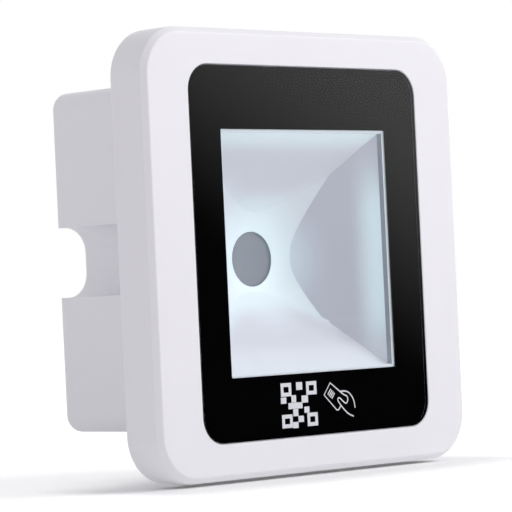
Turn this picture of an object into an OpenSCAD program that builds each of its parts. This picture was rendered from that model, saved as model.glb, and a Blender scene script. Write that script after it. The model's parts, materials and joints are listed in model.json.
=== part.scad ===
// Flush wall reader for bar codes and cards. Lengths are in millimetres.
// The origin is the centre of the wall plane. The front faces -Y, the rear box goes into the wall
// along +Y, and Z is up.

/* [Front bezel] */
// Width of the front bezel
bezel_w = 86; // [82:0.5:100]
// Height of the front bezel
bezel_h = 86; // [82:0.5:100]
// How far the bezel stands out from the wall
bezel_depth = 9.5; // [9:0.1:13]
// Radius of the bezel's corners, seen from the front
bezel_corner_r = 9.5; // [5:0.5:14]
// Flat chamfer round the front edge
bezel_chamfer = 1.1; // [0.4:0.1:1.6]
// Rounding of the rear edge, next to the wall
bezel_rear_r = 0.8; // [0.2:0.1:1.2]
// Thickness of the bezel's side walls
bezel_wall = 2.2; // [1.6:0.1:2.8]
// Thickness of the ribs that seat the bezel on the base plate
rib_t = 1.4; // [1:0.1:2]
// How far those ribs reach in from the side walls
rib_reach = 2.6; // [1.5:0.1:4]
// Length of each snap ridge
snap_len = 9; // [5:0.5:14]
// How far each snap ridge stands out
snap_reach = 0.8; // [0.5:0.1:1.2]

/* [Front window] */
// Width of the clear panel
panel_w = 62.9; // [60:0.1:68]
// Height of the clear panel
panel_h = 71.8; // [68:0.1:76]
// Radius of the panel's corners
panel_corner_r = 5.1; // [3:0.1:8]
// Thickness of the panel
panel_t = 1.5; // [1:0.1:2]
// Width of the clear view in the black mask
view_w = 45.8; // [42:0.1:46.6]
// Height of the clear view in the black mask
view_h = 47.5; // [44:0.1:50]
// Thickness of the black mask
mask_t = 0.2; // [0.1:0.05:0.3]
// Thickness of the adhesive frame
tape_t = 0.2; // [0.1:0.05:0.4]
// Width of the ledge that carries the panel
ledge_w = 2.5; // [1.5:0.1:3.5]
// Thickness of the ledge
ledge_t = 1.1; // [0.8:0.1:1.2]

/* [Reflector] */
// Width of the flat lip that shows inside the clear view
mouth_lip = 0.6; // [0.2:0.1:1]
// Depth of the straight rim behind the mask
rim_depth = 1.2; // [0.6:0.1:2]
// Thickness of the rim
rim_wall = 1.2; // [0.8:0.1:1.4]
// Angle between the left and right walls and the lens axis
wall_lean = 43.6; // [42.5:0.1:45]
// Angle between the top and bottom walls and the lens axis
roof_lean = 47.4; // [46:0.1:48]
// Depth from the front of the rim to the edge of the lens opening
throat_depth = 16; // [15:0.1:16.4]
// Diameter of the lens opening
throat_d = 10.9; // [8:0.1:11.4]
// Radius of the bowl round the lens opening
bowl_r = 24; // [20:0.5:30]
// Slope of the bowl's outer cone against the front plane
bowl_slope = 26; // [24.5:0.5:28]
// Wall thickness of the horn
horn_wall = 1.2; // [0.8:0.1:1.6]
// Thickness of the mounting flange
flange_t = 1.2; // [1:0.1:1.6]
// How far the lens axis lies below the middle of the view
lens_drop = 0.9; // [0:0.1:2]

/* [Lens and camera] */
// Diameter of the lens window
lens_window_d = 12.2; // [11.8:0.1:13]
// Thickness of the lens window
lens_window_t = 1; // [0.6:0.1:1.4]
// How far the lens window sits behind the edge of its opening
lens_recess = 0.5; // [0.2:0.1:1]
// Thickness of the foam gasket
gasket_t = 0.8; // [0.4:0.1:1.2]
// Width of the foam gasket's ring
gasket_w = 2.6; // [2.4:0.1:3]
// Wall of the boss round the lens window
boss_wall = 1.2; // [0.8:0.1:1.6]
// Diameter of the lens barrel
barrel_d = 8; // [7:0.1:9]
// Length of the lens barrel
barrel_len = 5; // [4.5:0.1:5.5]
// Diameter of the front glass
glass_d = 5.2; // [4:0.1:5.6]
// Thickness of the front glass
glass_t = 2; // [1.4:0.1:2.4]
// How far the front glass sits behind the front of the barrel
glass_recess = 0.6; // [0.2:0.1:1]
// Radius of the front glass's domed face
glass_dome_r = 5.2; // [4:0.1:8]
// Diameter of the stop behind the front glass
stop_d = 3.8; // [2.5:0.1:3.9]
// Gap between the barrel and the image sensor
focus_gap = 1.2; // [0.8:0.1:1.6]
// Side of the square image sensor
sensor_size = 7; // [5:0.1:8]
// Thickness of the image sensor
sensor_t = 1; // [0.6:0.1:1.2]
// Side of the square lens holder
holder_size = 12; // [11:0.1:13]
// Wall of the lens holder
holder_wall = 1.3; // [1:0.1:1.6]
// Side of the square camera board
camera_board_size = 24; // [22:0.5:25]
// Thickness of the camera board
camera_board_t = 1.2; // [0.8:0.1:1.4]
// Distance between the camera board's screws
camera_span = 19; // [17:0.5:20]

/* [Lighting] */
// Side of the square light board
light_board_size = 34; // [32:0.5:38]
// Thickness of the light board
light_board_t = 1.2; // [0.8:0.1:1.4]
// Distance between the posts that carry the light board
post_span = 26; // [25:0.5:27]
// Diameter of those posts
post_d = 4; // [3.4:0.1:4.4]
// Number of lamps in the ring
led_count = 8; // [4:4:8]
// Diameter of the ring of lamps
led_ring_d = 24; // [23:0.5:25]
// Side of each square lamp
led_size = 3; // [2:0.1:3.5]
// Height of each lamp
led_t = 0.9; // [0.6:0.1:1]
// Wall of each lamp round its pool of phosphor
led_wall = 0.4; // [0.3:0.05:0.6]
// Depth of that pool
led_pool_t = 0.3; // [0.1:0.05:0.5]
// Distance between the pins of the light board's header, and the side of its insulators
header_pitch = 2.54; // [2:0.02:2.6]
// Number of pins in that header
header_pins = 4; // [2:1:6]

/* [Antenna] */
// Thickness of the antenna board
antenna_t = 0.8; // [0.6:0.1:1.2]
// Number of turns in the antenna coil
coil_turns = 3; // [2:1:3]
// Width of the coil's copper track
trace_w = 0.3; // [0.2:0.05:0.4]
// Thickness of the coil's copper track
trace_t = 0.1; // [0.05:0.05:0.15]
// Width of the flat lead from the antenna
ribbon_w = 8; // [5:0.5:10]
// Thickness of the flat lead
ribbon_t = 0.2; // [0.1:0.05:0.3]
// Depth of the flat lead's connector
connector_d = 3; // [2.4:0.1:3.4]
// Height of that connector
connector_h = 3.2; // [2.4:0.1:4]
// Wall of that connector at each end of the lead
connector_wall = 1.5; // [1:0.1:2]
// Thickness of that connector's floor under the lead
connector_floor = 0.8; // [0.5:0.1:1.2]

/* [Rear housing] */
// Width of the rear box
box_w = 63.6; // [62:0.2:67]
// Height of the rear box
box_h = 67; // [64:0.2:72]
// How deep the rear box goes into the wall
box_depth = 30.5; // [30:0.5:40]
// Radius of the box's corners, seen from the front
box_corner_r = 3.5; // [3:0.1:6]
// Rounding of the box's rear edge
box_rear_r = 2; // [0.5:0.1:2.8]
// Wall thickness of the box
box_wall = 2; // [1.6:0.1:2.4]
// Thickness of the base plate
base_t = 2.5; // [2.2:0.1:2.8]
// Height of the notch in each side
notch_h = 13.8; // [12:0.1:16]
// Depth of the notch in each side
notch_depth = 7.9; // [7:0.1:8.4]
// Radius of the notch's inner corners
notch_r = 4.9; // [2:0.1:5.5]
// Diameter of the corner columns
column_d = 5.6; // [5:0.1:6]
// How far the corner columns run into the walls
column_sink = 0.4; // [0.2:0.1:0.8]

/* [Wall screws] */
// Distance between the two wall screws
screw_spacing = 60.3; // [60:0.1:63]
// Width of the slots for the wall screws
slot_w = 4.5; // [3.5:0.1:5]
// Length of the slots for the wall screws
slot_len = 7.5; // [6:0.1:8]
// Free width round each wall screw's head
head_room = 8.2; // [7:0.1:8.4]

/* [Main board] */
// Thickness of the main board
board_t = 1.6; // [1:0.1:1.8]
// Height of the standoffs that carry the main board
standoff_h = 4.9; // [4.5:0.1:5.4]
// Diameter of those standoffs
standoff_d = 5; // [4.4:0.1:5.6]
// Side of the square processor
processor_size = 12; // [9:0.5:13]
// Height of the processor
processor_t = 1.2; // [0.8:0.1:1.6]
// Width of the memory chip
memory_w = 11; // [8:0.5:12]
// Depth of the memory chip
memory_h = 8; // [6:0.5:9]
// Height of the memory chip
memory_t = 1; // [0.8:0.1:1.6]
// Side of the square inductor
inductor_size = 7; // [5:0.5:8]
// Height of the inductor
inductor_t = 3.5; // [2:0.1:4.5]
// Radius of the inductor's corners
inductor_r = 1.2; // [0.4:0.1:2]
// Diameter of the capacitors
capacitor_d = 5; // [4:0.1:5.5]
// Height of the capacitors
capacitor_h = 5.4; // [4:0.1:6.5]
// Height of the square foot under each capacitor
capacitor_foot_t = 0.9; // [0.5:0.1:1.4]
// Diameter of the buzzer
buzzer_d = 9; // [7:0.1:10]
// Height of the buzzer
buzzer_h = 5; // [4:0.1:6.5]
// Diameter of the buzzer's sound hole
sound_hole_d = 1.8; // [1:0.1:3]
// Depth of that hole
sound_hole_depth = 2.5; // [1:0.1:3]
// Width of the link between the camera board and the main board
link_w = 12; // [8:0.5:14]
// Depth of that link
link_h = 3.6; // [3:0.1:4.5]
// How much smaller the link's front half is on each side
link_lip = 0.6; // [0.3:0.1:1]
// How far the link lies above the lens axis
link_rise = 6; // [4:0.5:8]

/* [Wiring inlet] */
// Width of the wiring socket
socket_w = 18; // [17:0.1:20]
// Height of the wiring socket
socket_h = 7; // [6.5:0.1:9]
// Wall of the wiring socket
socket_wall = 1; // [0.7:0.1:1.2]
// How far the socket lies below the middle
socket_drop = 10; // [0:0.5:12]
// Number of contact pins
pin_count = 6; // [2:1:6]
// Distance between contact pins
pin_pitch = 2.5; // [2:0.1:2.54]
// Side of each square pin
pin_size = 0.64; // [0.5:0.02:0.8]
// How far the pins stand up in the socket
pin_reach = 4; // [3:0.1:4.2]
// Width of the keyway in the socket's top wall
keyway_w = 5; // [3:0.1:8]
// Depth of that keyway
keyway_depth = 3.2; // [2:0.1:4]

/* [Fasteners] */
// Diameter of the small screws
screw_d = 2; // [1.6:0.1:2.2]
// Diameter of the small screws' heads
screw_head_d = 3.8; // [3.2:0.1:4]
// Height of the small screws' heads
screw_head_t = 1.1; // [0.8:0.1:1.2]
// How deep the small screws bite into plastic
screw_bite = 4.2; // [3:0.1:4.3]
// Length of each bar of the cross recess in a screw head
recess_len = 2.3; // [1.6:0.1:2.6]
// Width of those bars
recess_w = 0.5; // [0.4:0.05:0.8]
// Depth of the cross recess
recess_depth = 0.55; // [0.3:0.05:0.7]
// Width across the flats of the nuts
nut_w = 4; // [3.6:0.1:4.4]
// Height of the nuts
nut_t = 1.4; // [1:0.1:1.5]

/* [Clearances] */
// Gap round the panel in its seat
panel_gap = 0.15; // [0.05:0.05:0.3]
// Gap between the bezel and the base plate
snap_gap = 0.3; // [0.1:0.05:0.5]
// Gap between the mask and the reflector
mask_gap = 0.1; // [0.05:0.05:0.3]
// Gap round boards and pieces that drop in
board_gap = 0.4; // [0.2:0.05:0.5]
// Gap between a shaft or pin and its hole, on each side
bore_gap = 0.1; // [0.05:0.05:0.2]
// Narrow border kept along the edge of a board or a seat
edge = 0.3; // [0.2:0.05:0.5]

/* [Hidden] */
$fn = 96;

// Extra length that lets a cut pass right through a face
cut = 1;

// Heights above the wall plane, from the front to the rear
z_front = bezel_depth;
z_panel_back = z_front - panel_t;
z_mask_back = z_panel_back - mask_t;
z_ledge = z_mask_back - tape_t;
z_ledge_back = z_ledge - ledge_t;
z_rim = z_mask_back - mask_gap;
z_mouth = z_rim - rim_depth;
z_flange = base_t + flange_t;
z_antenna = z_flange + antenna_t;
z_throat = z_rim - throat_depth;
z_lens = z_throat - lens_recess;
z_lens_back = z_lens - lens_window_t;
z_light = z_lens_back - gasket_t;
z_light_back = z_light - light_board_t;
z_glass = z_light - glass_recess - glass_t;
z_barrel_back = z_light - barrel_len;
z_sensor = z_barrel_back - focus_gap;
z_camera = z_sensor - sensor_t;
z_camera_back = z_camera - camera_board_t;
z_rear = -box_depth;
z_floor = z_rear + box_wall;
z_main_back = z_floor + standoff_h;
z_main = z_main_back + board_t;

// Inside of the bezel, and the base plate that fits in it
skirt_w = bezel_w - 2 * bezel_wall;
skirt_h = bezel_h - 2 * bezel_wall;
skirt_r = bezel_corner_r - bezel_wall;
base_w = skirt_w - 2 * snap_gap;
base_h = skirt_h - 2 * snap_gap;
base_r = skirt_r - snap_gap;
rib_x = base_w / 2 - base_r - rib_t;
rib_y = (base_h / 2 - base_r) / 2;
snap_x = rib_x - snap_len;
snap_z = base_t / 2;

// Seat of the window in the bezel
seat_w = panel_w + 2 * panel_gap;
seat_h = panel_h + 2 * panel_gap;
seat_r = panel_corner_r + panel_gap;
ledge_open_w = seat_w - 2 * ledge_w;
ledge_open_h = seat_h - 2 * ledge_w;
ledge_open_r = max(seat_r - ledge_w, edge);

// Mouth of the reflector, and the centre of the bowl's spherical bottom
mouth_x = view_w / 2 - mouth_lip;
mouth_y = view_h / 2 - mouth_lip;
rim_x = mouth_x + rim_wall;
rim_y = mouth_y + rim_wall;
bowl_z = z_throat + sqrt(pow(bowl_r, 2) - pow(throat_d / 2, 2));
lens_seat_r = lens_window_d / 2 + bore_gap;
boss_r = lens_seat_r + boss_wall;

// Corner columns of the rear box, and the flange and antenna board that they carry
column_x = box_w / 2 - box_wall - column_d / 2 + column_sink;
column_y = box_h / 2 - box_wall - column_d / 2 + column_sink;
flange_w = 2 * column_x + column_d;
flange_h = 2 * column_y + column_d;
antenna_w = flange_w - 2 * board_gap;
antenna_h = flange_h - 2 * board_gap;
flange_corner_r = column_d / 2;
access_x = screw_spacing / 2 - head_room / 2;

// Copper tracks between the rim and the room for the wall screws
coil_in_x = rim_x + board_gap + edge;
coil_in_y = rim_y + board_gap + edge;
coil_pitch = (access_x - edge - coil_in_x - trace_w) / (coil_turns - 1);

// Holes for the small screws
screw_r = screw_d / 2;
hole_r = screw_r + bore_gap;
bite_depth = screw_bite + 2 * bore_gap;

// Places on the main board
standoff_x = column_x - column_d / 2 - standoff_d / 2 - 2 * board_gap;
standoff_y = column_y - column_d / 2 - standoff_d / 2 + board_gap;
chip_gap = screw_head_d / 2 + 2 * board_gap;
connector_w = ribbon_w + 2 * connector_wall;
ribbon_y = box_h / 2 - box_wall - board_gap - edge - connector_d / 2;
ribbon_end = z_main + connector_floor;
header_y = lens_drop + light_board_size / 2 - header_pitch;
link_y = link_rise - lens_drop;

// Turns a shape drawn in the front view (x right, y up, z out of the wall) upright
module upright() {
    rotate([90, 0, 0]) children();
}

// Moves a shape onto the lens axis
module on_lens_axis() {
    translate([0, -lens_drop, 0]) children();
}

// Puts a copy of a shape at the four corners of a rectangle given by its half sizes
module at_corners(x, y) {
    for (sx = [-1, 1], sy = [-1, 1])
        translate([sx * x, sy * y, 0]) children();
}

// Puts a copy of a shape on the left and its mirror image on the right
module on_both_sides() {
    children();
    mirror([1, 0, 0]) children();
}

// Outline of a rectangle with round corners
module round_rect(w, h, r) {
    square([w - 2 * r, h], center = true);
    square([w, h - 2 * r], center = true);
    for (sx = [-1, 1], sy = [-1, 1])
        translate([sx * (w / 2 - r), sy * (h / 2 - r)]) circle(r);
}

// Extrudes an outline between two heights
module between(z0, z1) {
    translate([0, 0, z0]) linear_extrude(z1 - z0) children();
}

// Block centred on x and y between two heights
module block(w, h, z0, z1) {
    between(z0, z1) square([w, h], center = true);
}

// Upright cylinder between two heights
module post(r, z0, z1) {
    translate([0, 0, z0]) cylinder(r = r, h = z1 - z0);
}

// Rounded slab whose edge follows a section. The child is the section: x runs from the corner's
// centre out to r, and y runs from z0 to z1.
module edge_slab(w, h, r, z0, z1) {
    block(w - 2 * r, h - 2 * r, z0, z1);
    for (q = [[0, w, h], [90, h, w], [180, w, h], [270, h, w]])
        rotate(q[0]) translate([q[1] / 2 - r, q[2] / 2 - r, 0]) {
            rotate_extrude(angle = 90) children();
            rotate([90, 0, 0]) linear_extrude(q[2] - 2 * r) children();
        }
}

// Quarter of a disc, in the corner between +x and -y
module rear_quarter(r) {
    intersection() {
        circle(r);
        translate([0, -r]) square(r);
    }
}

// Section of the bezel's edge: rounded at the wall, chamfered at the front
module bezel_section() {
    flat_r = bezel_corner_r - bezel_rear_r;
    polygon([
        [0, 0],
        [flat_r, 0],
        [flat_r, bezel_rear_r],
        [bezel_corner_r, bezel_rear_r],
        [bezel_corner_r, z_front - bezel_chamfer],
        [bezel_corner_r - bezel_chamfer, z_front],
        [0, z_front]
    ]);
    translate([flat_r, bezel_rear_r]) rear_quarter(bezel_rear_r);
}

// Section of the rear box's edge: rounded at the rear
module box_section() {
    flat_r = box_corner_r - box_rear_r;
    polygon([
        [0, z_rear],
        [flat_r, z_rear],
        [flat_r, z_rear + box_rear_r],
        [box_corner_r, z_rear + box_rear_r],
        [box_corner_r, 0],
        [0, 0]
    ]);
    translate([flat_r, z_rear + box_rear_r]) rear_quarter(box_rear_r);
}

// Outline of both side notches, grown by a margin
module notch_outline(grow) {
    for (s = [-1, 1])
        translate([s * box_w / 2, 0])
            round_rect(2 * (notch_depth + grow), notch_h + 2 * grow, notch_r + grow);
}

// Outline of the inside of the rear box, less a margin
module cavity_outline(margin) {
    inset = box_wall + margin;
    difference() {
        round_rect(box_w - 2 * inset, box_h - 2 * inset, max(box_corner_r - inset, edge));
        notch_outline(inset);
    }
}

// Outline of the free room in front of both wall screws
module screw_access() {
    reach = bezel_w / 2 - access_x;
    for (s = [-1, 1])
        translate([s * (access_x + reach / 2), 0]) square([reach, head_room], center = true);
}

// Outline of a slot with round ends
module slot_outline(length, w) {
    square([length - w, w], center = true);
    for (s = [-1, 1])
        translate([s * (length - w) / 2, 0]) circle(w / 2);
}

// Pan head screw with a cross recess. The head stands on z = 0 and the shank goes down.
module pan_screw(shank) {
    recess_z = screw_head_t - recess_depth;
    difference() {
        post(screw_head_d / 2, 0, screw_head_t);
        block(recess_len, recess_w, recess_z, screw_head_t + cut);
        block(recess_w, recess_len, recess_z, screw_head_t + cut);
    }
    post(screw_r, -shank, 0);
}

// Ribs inside the bezel that rest on the base plate, each rooted in the middle of a side wall
module bezel_ribs() {
    rib_len = rib_reach + bezel_wall / 2;
    at_corners((bezel_w - bezel_wall - rib_len) / 2, rib_y) block(rib_len, rib_t, base_t, z_ledge_back);
    at_corners(rib_x, (bezel_h - bezel_wall - rib_len) / 2) block(rib_t, rib_len, base_t, z_ledge_back);
}

// Section of a snap ridge. It is rooted in its wall, stands out from x = 0 towards -x, and y is the
// height above the wall plane.
module snap_section(grow) {
    root = bezel_wall / 2;
    half = snap_z / 2 + grow;
    low = snap_z - half - snap_reach / 2;
    polygon([
        [root, low],
        [0, low],
        [-snap_reach - grow, snap_z - half / 2],
        [-snap_reach - grow, snap_z + half / 2],
        [0, snap_z + half],
        [root, snap_z + half]
    ]);
}

// Ridges on the inside of the bezel's top and bottom walls, or the pockets that take them
module snap_ridges(grow) {
    for (sx = [-1, 1], turn = [0, 180])
        rotate(turn) translate([sx * snap_x, skirt_h / 2, 0]) rotate([90, 0, 90])
            linear_extrude(snap_len + 2 * grow, center = true) snap_section(grow);
}

module front_bezel() {
    color([0.93, 0.93, 0.95]) upright() difference() {
        union() {
            difference() {
                edge_slab(bezel_w, bezel_h, bezel_corner_r, 0, z_front) bezel_section();
                between(-cut, z_ledge_back) round_rect(skirt_w, skirt_h, skirt_r);
            }
            bezel_ribs();
            snap_ridges(0);
        }
        between(z_ledge, z_front + cut) round_rect(seat_w, seat_h, seat_r);
        between(z_ledge_back - cut, z_front) round_rect(ledge_open_w, ledge_open_h, ledge_open_r);
    }
}

module front_window() {
    color([0.75, 0.8, 0.85, 0.4]) upright()
        between(z_panel_back, z_front) round_rect(panel_w, panel_h, panel_corner_r);
}

module window_mask() {
    color([0.05, 0.05, 0.05]) upright() between(z_mask_back, z_panel_back) difference() {
        round_rect(panel_w, panel_h, panel_corner_r);
        square([view_w, view_h], center = true);
    }
}

module window_tape() {
    color([0.2, 0.2, 0.2]) upright() between(z_ledge, z_mask_back) difference() {
        round_rect(panel_w, panel_h, panel_corner_r);
        round_rect(ledge_open_w, ledge_open_h, ledge_open_r);
    }
}

// Half width of the leaning walls at a height, grown outwards
function wall_at(half, lean, z, grow) =
    half - (z_mouth - z) * tan(lean) + grow / cos(lean);

// Height of the bowl's surface at a distance from the lens axis, grown outwards
function bowl_at(r, grow) =
    let (
        big = bowl_r + grow,
        edge_r = big * sin(bowl_slope)
    )
    r < edge_r
        ? bowl_z - sqrt(pow(big, 2) - pow(r, 2))
        : bowl_z - big * cos(bowl_slope) + (r - edge_r) * tan(bowl_slope);

// Prism between two leaning walls, across x
module leaning_prism(half, lean, span, grow) {
    low = bowl_z - bowl_r - grow;
    rotate([90, 0, 0]) linear_extrude(2 * span, center = true) polygon([
        [-wall_at(half, lean, low, grow), low],
        [wall_at(half, lean, low, grow), low],
        [wall_at(half, lean, z_mouth, grow), z_mouth],
        [-wall_at(half, lean, z_mouth, grow), z_mouth]
    ]);
}

// Section of the space in the bowl: a spherical bottom that runs on into a cone
module bowl_section(grow) {
    big = bowl_r + grow;
    edge_r = big * sin(bowl_slope);
    edge_z = bowl_z - big * cos(bowl_slope);
    polygon([
        [0, edge_z],
        [edge_r, edge_z],
        [edge_r + (z_mouth - edge_z) / tan(bowl_slope), z_mouth],
        [0, z_mouth]
    ]);
    intersection() {
        translate([0, bowl_z]) circle(big);
        translate([0, bowl_z - big]) square([big, z_mouth - bowl_z + big]);
    }
}

// Space inside the horn: four leaning walls that cut into a bowl round the lens axis
module horn_space(grow) {
    intersection() {
        leaning_prism(mouth_x, wall_lean, rim_y + cut, grow);
        rotate(90) leaning_prism(mouth_y, roof_lean, rim_x + cut, grow);
        on_lens_axis() rotate_extrude() bowl_section(grow);
    }
}

// Shell of the horn before it is hollowed, kept inside the rim
module horn_body() {
    intersection() {
        horn_space(horn_wall);
        block(2 * rim_x, 2 * rim_y, z_throat - bowl_r, z_mouth);
    }
}

// Rim round the mouth, and the flange that rests on the base plate
module reflector_frame() {
    block(2 * rim_x, 2 * rim_y, base_t, z_rim);
    between(base_t, z_flange) difference() {
        round_rect(flange_w, flange_h, flange_corner_r);
        screw_access();
    }
}

module reflector() {
    post_r = post_span / sqrt(2);
    color([0.85, 0.9, 0.95]) upright() difference() {
        union() {
            difference() {
                reflector_frame();
                block(2 * mouth_x, 2 * mouth_y, base_t - cut, z_rim + cut);
                at_corners(column_x, column_y) post(hole_r, base_t - cut, z_flange + cut);
                translate([0, -ribbon_y, 0])
                    block(ribbon_w + 2 * board_gap, ribbon_t + 2 * board_gap, 0, z_flange + cut);
            }
            horn_body();
            on_lens_axis() {
                post(boss_r, z_light, bowl_at(boss_r, 0));
                at_corners(post_span / 2, post_span / 2)
                    post(post_d / 2, z_light, bowl_at(post_r + post_d / 2, 0));
            }
        }
        horn_space(0);
        on_lens_axis() {
            post(throat_d / 2, z_light - cut, z_throat + cut);
            post(lens_seat_r, z_light - cut, z_lens);
            at_corners(post_span / 2, post_span / 2)
                post(screw_r, z_light - cut, z_light + bite_depth);
        }
    }
}

module lens_window() {
    color([0.57, 0.59, 0.63]) upright() on_lens_axis()
        post(lens_window_d / 2, z_lens_back, z_lens);
}

module lens_gasket() {
    color([0.15, 0.15, 0.16]) upright() on_lens_axis() difference() {
        post(lens_window_d / 2, z_light, z_lens_back);
        post(lens_window_d / 2 - gasket_w, z_light - cut, z_lens_back + cut);
    }
}

module antenna_board() {
    color([0.1, 0.35, 0.2]) upright() between(z_flange, z_antenna) difference() {
        round_rect(antenna_w, antenna_h, flange_corner_r);
        square([2 * (rim_x + board_gap), 2 * (rim_y + board_gap)], center = true);
        screw_access();
        for (sx = [-1, 1], sy = [-1, 1])
            translate([sx * column_x, sy * column_y]) circle(hole_r);
    }
}

// One straight track between two points that share an x or a y
module track(a, b) {
    low = [min(a[0], b[0]) - trace_w / 2, min(a[1], b[1]) - trace_w / 2];
    high = [max(a[0], b[0]) + trace_w / 2, max(a[1], b[1]) + trace_w / 2];
    translate(low) square(high - low);
}

// Square spiral of tracks that winds inwards turn by turn
module antenna_coil() {
    span = (coil_turns - 1) * coil_pitch + trace_w / 2;
    out_x = coil_in_x + span;
    out_y = coil_in_y + span;
    color([0.75, 0.5, 0.25]) upright() between(z_antenna, z_antenna + trace_t)
        for (i = [0:coil_turns - 1]) {
            x = out_x - i * coil_pitch;
            y = out_y - i * coil_pitch;
            last_y = i == 0 ? y : y + coil_pitch;
            next_x = i == coil_turns - 1 ? x - 2 * coil_pitch : x - coil_pitch;
            track([x, -last_y], [x, y]);
            track([x, y], [-x, y]);
            track([-x, y], [-x, -y]);
            track([-x, -y], [next_x, -y]);
        }
}

module antenna_ribbon() {
    color([0.75, 0.55, 0.2]) upright() translate([0, -ribbon_y, 0])
        block(ribbon_w, ribbon_t, ribbon_end, z_flange);
}

module ribbon_connector() {
    color([0.9, 0.88, 0.8]) upright() translate([0, -ribbon_y, 0]) difference() {
        block(connector_w, connector_d, z_main, z_main + connector_h);
        block(ribbon_w + 2 * bore_gap, ribbon_t + 2 * bore_gap, ribbon_end, z_main + connector_h + cut);
    }
}

module light_board() {
    color([0.92, 0.93, 0.92]) upright() on_lens_axis() difference() {
        between(z_light_back, z_light) round_rect(light_board_size, light_board_size, post_d / 2);
        post(boss_r + board_gap, z_light_back - cut, z_light + cut);
        at_corners(post_span / 2, post_span / 2) post(hole_r, z_light_back - cut, z_light + cut);
        at_corners(camera_span / 2, camera_span / 2) post(hole_r, z_light_back - cut, z_light + cut);
    }
}

// Surface lamps: a body with a shallow round pool of phosphor
module light_leds() {
    step = 360 / led_count;
    pool_r = led_size / 2 - led_wall;
    top = z_light + led_t;
    color([0.98, 0.95, 0.75]) upright() on_lens_axis()
        for (i = [0:led_count - 1])
            rotate((i + 0.5) * step) translate([led_ring_d / 2, 0, 0]) difference() {
                block(led_size, led_size, z_light, top);
                post(pool_r, top - led_pool_t, top + cut);
            }
}

module light_screws() {
    color([0.6, 0.6, 0.62]) upright() on_lens_axis()
        at_corners(post_span / 2, post_span / 2)
            translate([0, 0, z_light_back]) mirror([0, 0, 1]) pan_screw(light_board_t + screw_bite);
}

// Pin header that joins the light board to the main board: two insulators and a row of pins
module light_header() {
    span = header_pins * header_pitch;
    color([0.15, 0.15, 0.15]) upright() translate([0, -header_y, 0]) {
        block(span, header_pitch, z_main, z_main + header_pitch);
        block(span, header_pitch, z_light_back - header_pitch, z_light_back);
        for (i = [0:header_pins - 1])
            translate([(i - (header_pins - 1) / 2) * header_pitch, 0, 0])
                block(pin_size, pin_size, z_main + header_pitch / 2, z_light_back - header_pitch / 2);
    }
}

// Threaded barrel with a flared mouth, a seat for the front glass and a stop behind it
module lens_barrel() {
    glass_r = glass_d / 2 + bore_gap;
    stop_r = stop_d / 2;
    color([0.12, 0.12, 0.13]) upright() on_lens_axis() rotate_extrude() polygon([
        [glass_r, z_light],
        [barrel_d / 2, z_light],
        [barrel_d / 2, z_barrel_back],
        [stop_r, z_barrel_back],
        [stop_r, z_glass],
        [glass_r, z_glass]
    ]);
}

// Front glass: a flat back and a domed front
module lens_glass() {
    dome_top = z_glass + glass_t;
    color([0.5, 0.6, 0.7, 0.6]) upright() on_lens_axis() intersection() {
        post(glass_d / 2, z_glass, dome_top);
        translate([0, 0, dome_top - glass_dome_r]) sphere(glass_dome_r);
    }
}

module lens_holder() {
    top = z_light_back - board_gap;
    room = holder_size - 2 * holder_wall;
    ceiling = z_sensor + focus_gap / 2;
    color([0.16, 0.16, 0.17]) upright() on_lens_axis() difference() {
        union() {
            block(holder_size, holder_size, z_camera, ceiling + holder_wall);
            post(barrel_d / 2 + bore_gap + holder_wall, ceiling, top);
        }
        block(room, room, z_camera - cut, ceiling);
        post(barrel_d / 2 + bore_gap, z_camera, top + cut);
    }
}

module image_sensor() {
    color([0.2, 0.25, 0.3]) upright() on_lens_axis() block(sensor_size, sensor_size, z_camera, z_sensor);
}

module camera_board() {
    color([0.1, 0.3, 0.45]) upright() on_lens_axis() difference() {
        between(z_camera_back, z_camera) round_rect(camera_board_size, camera_board_size, screw_d / 2);
        at_corners(camera_span / 2, camera_span / 2) post(hole_r, z_camera_back - cut, z_camera + cut);
    }
}

module camera_spacers() {
    color([0.8, 0.7, 0.4]) upright() on_lens_axis() at_corners(camera_span / 2, camera_span / 2)
        difference() {
            post(screw_head_d / 2, z_camera, z_light_back);
            post(hole_r, z_camera - cut, z_light_back + cut);
        }
}

module camera_screws() {
    color([0.6, 0.6, 0.62]) upright() on_lens_axis() at_corners(camera_span / 2, camera_span / 2)
        translate([0, 0, z_camera_back]) mirror([0, 0, 1]) pan_screw(z_light + nut_t - z_camera_back);
}

module camera_nuts() {
    color([0.7, 0.7, 0.72]) upright() on_lens_axis() at_corners(camera_span / 2, camera_span / 2)
        difference() {
            translate([0, 0, z_light]) cylinder(d = nut_w / cos(30), h = nut_t, $fn = 6);
            post(screw_r, z_light - cut, z_light + nut_t + cut);
        }
}

// Connector pair between the camera board and the main board
module board_link() {
    middle = (z_main + z_camera_back) / 2;
    color([0.88, 0.86, 0.78]) upright() translate([0, link_y, 0]) {
        block(link_w, link_h, z_main, middle);
        block(link_w - 2 * link_lip, link_h - 2 * link_lip, middle, z_camera_back);
    }
}

module main_board() {
    color([0.08, 0.3, 0.16]) upright() between(z_main_back, z_main) difference() {
        cavity_outline(board_gap);
        for (sx = [-1, 1], sy = [-1, 1]) {
            translate([sx * column_x, sy * column_y]) circle(column_d / 2 + board_gap);
            translate([sx * standoff_x, sy * standoff_y]) circle(hole_r);
        }
    }
}

module processor() {
    x = standoff_x - processor_size / 2;
    y = standoff_y - chip_gap - processor_size / 2;
    color([0.12, 0.12, 0.13]) upright() translate([-x, y, 0])
        block(processor_size, processor_size, z_main, z_main + processor_t);
}

module memory_chip() {
    x = standoff_x - memory_w / 2;
    y = standoff_y - chip_gap - memory_h / 2;
    color([0.14, 0.14, 0.15]) upright() translate([x, y, 0])
        block(memory_w, memory_h, z_main, z_main + memory_t);
}

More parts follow.
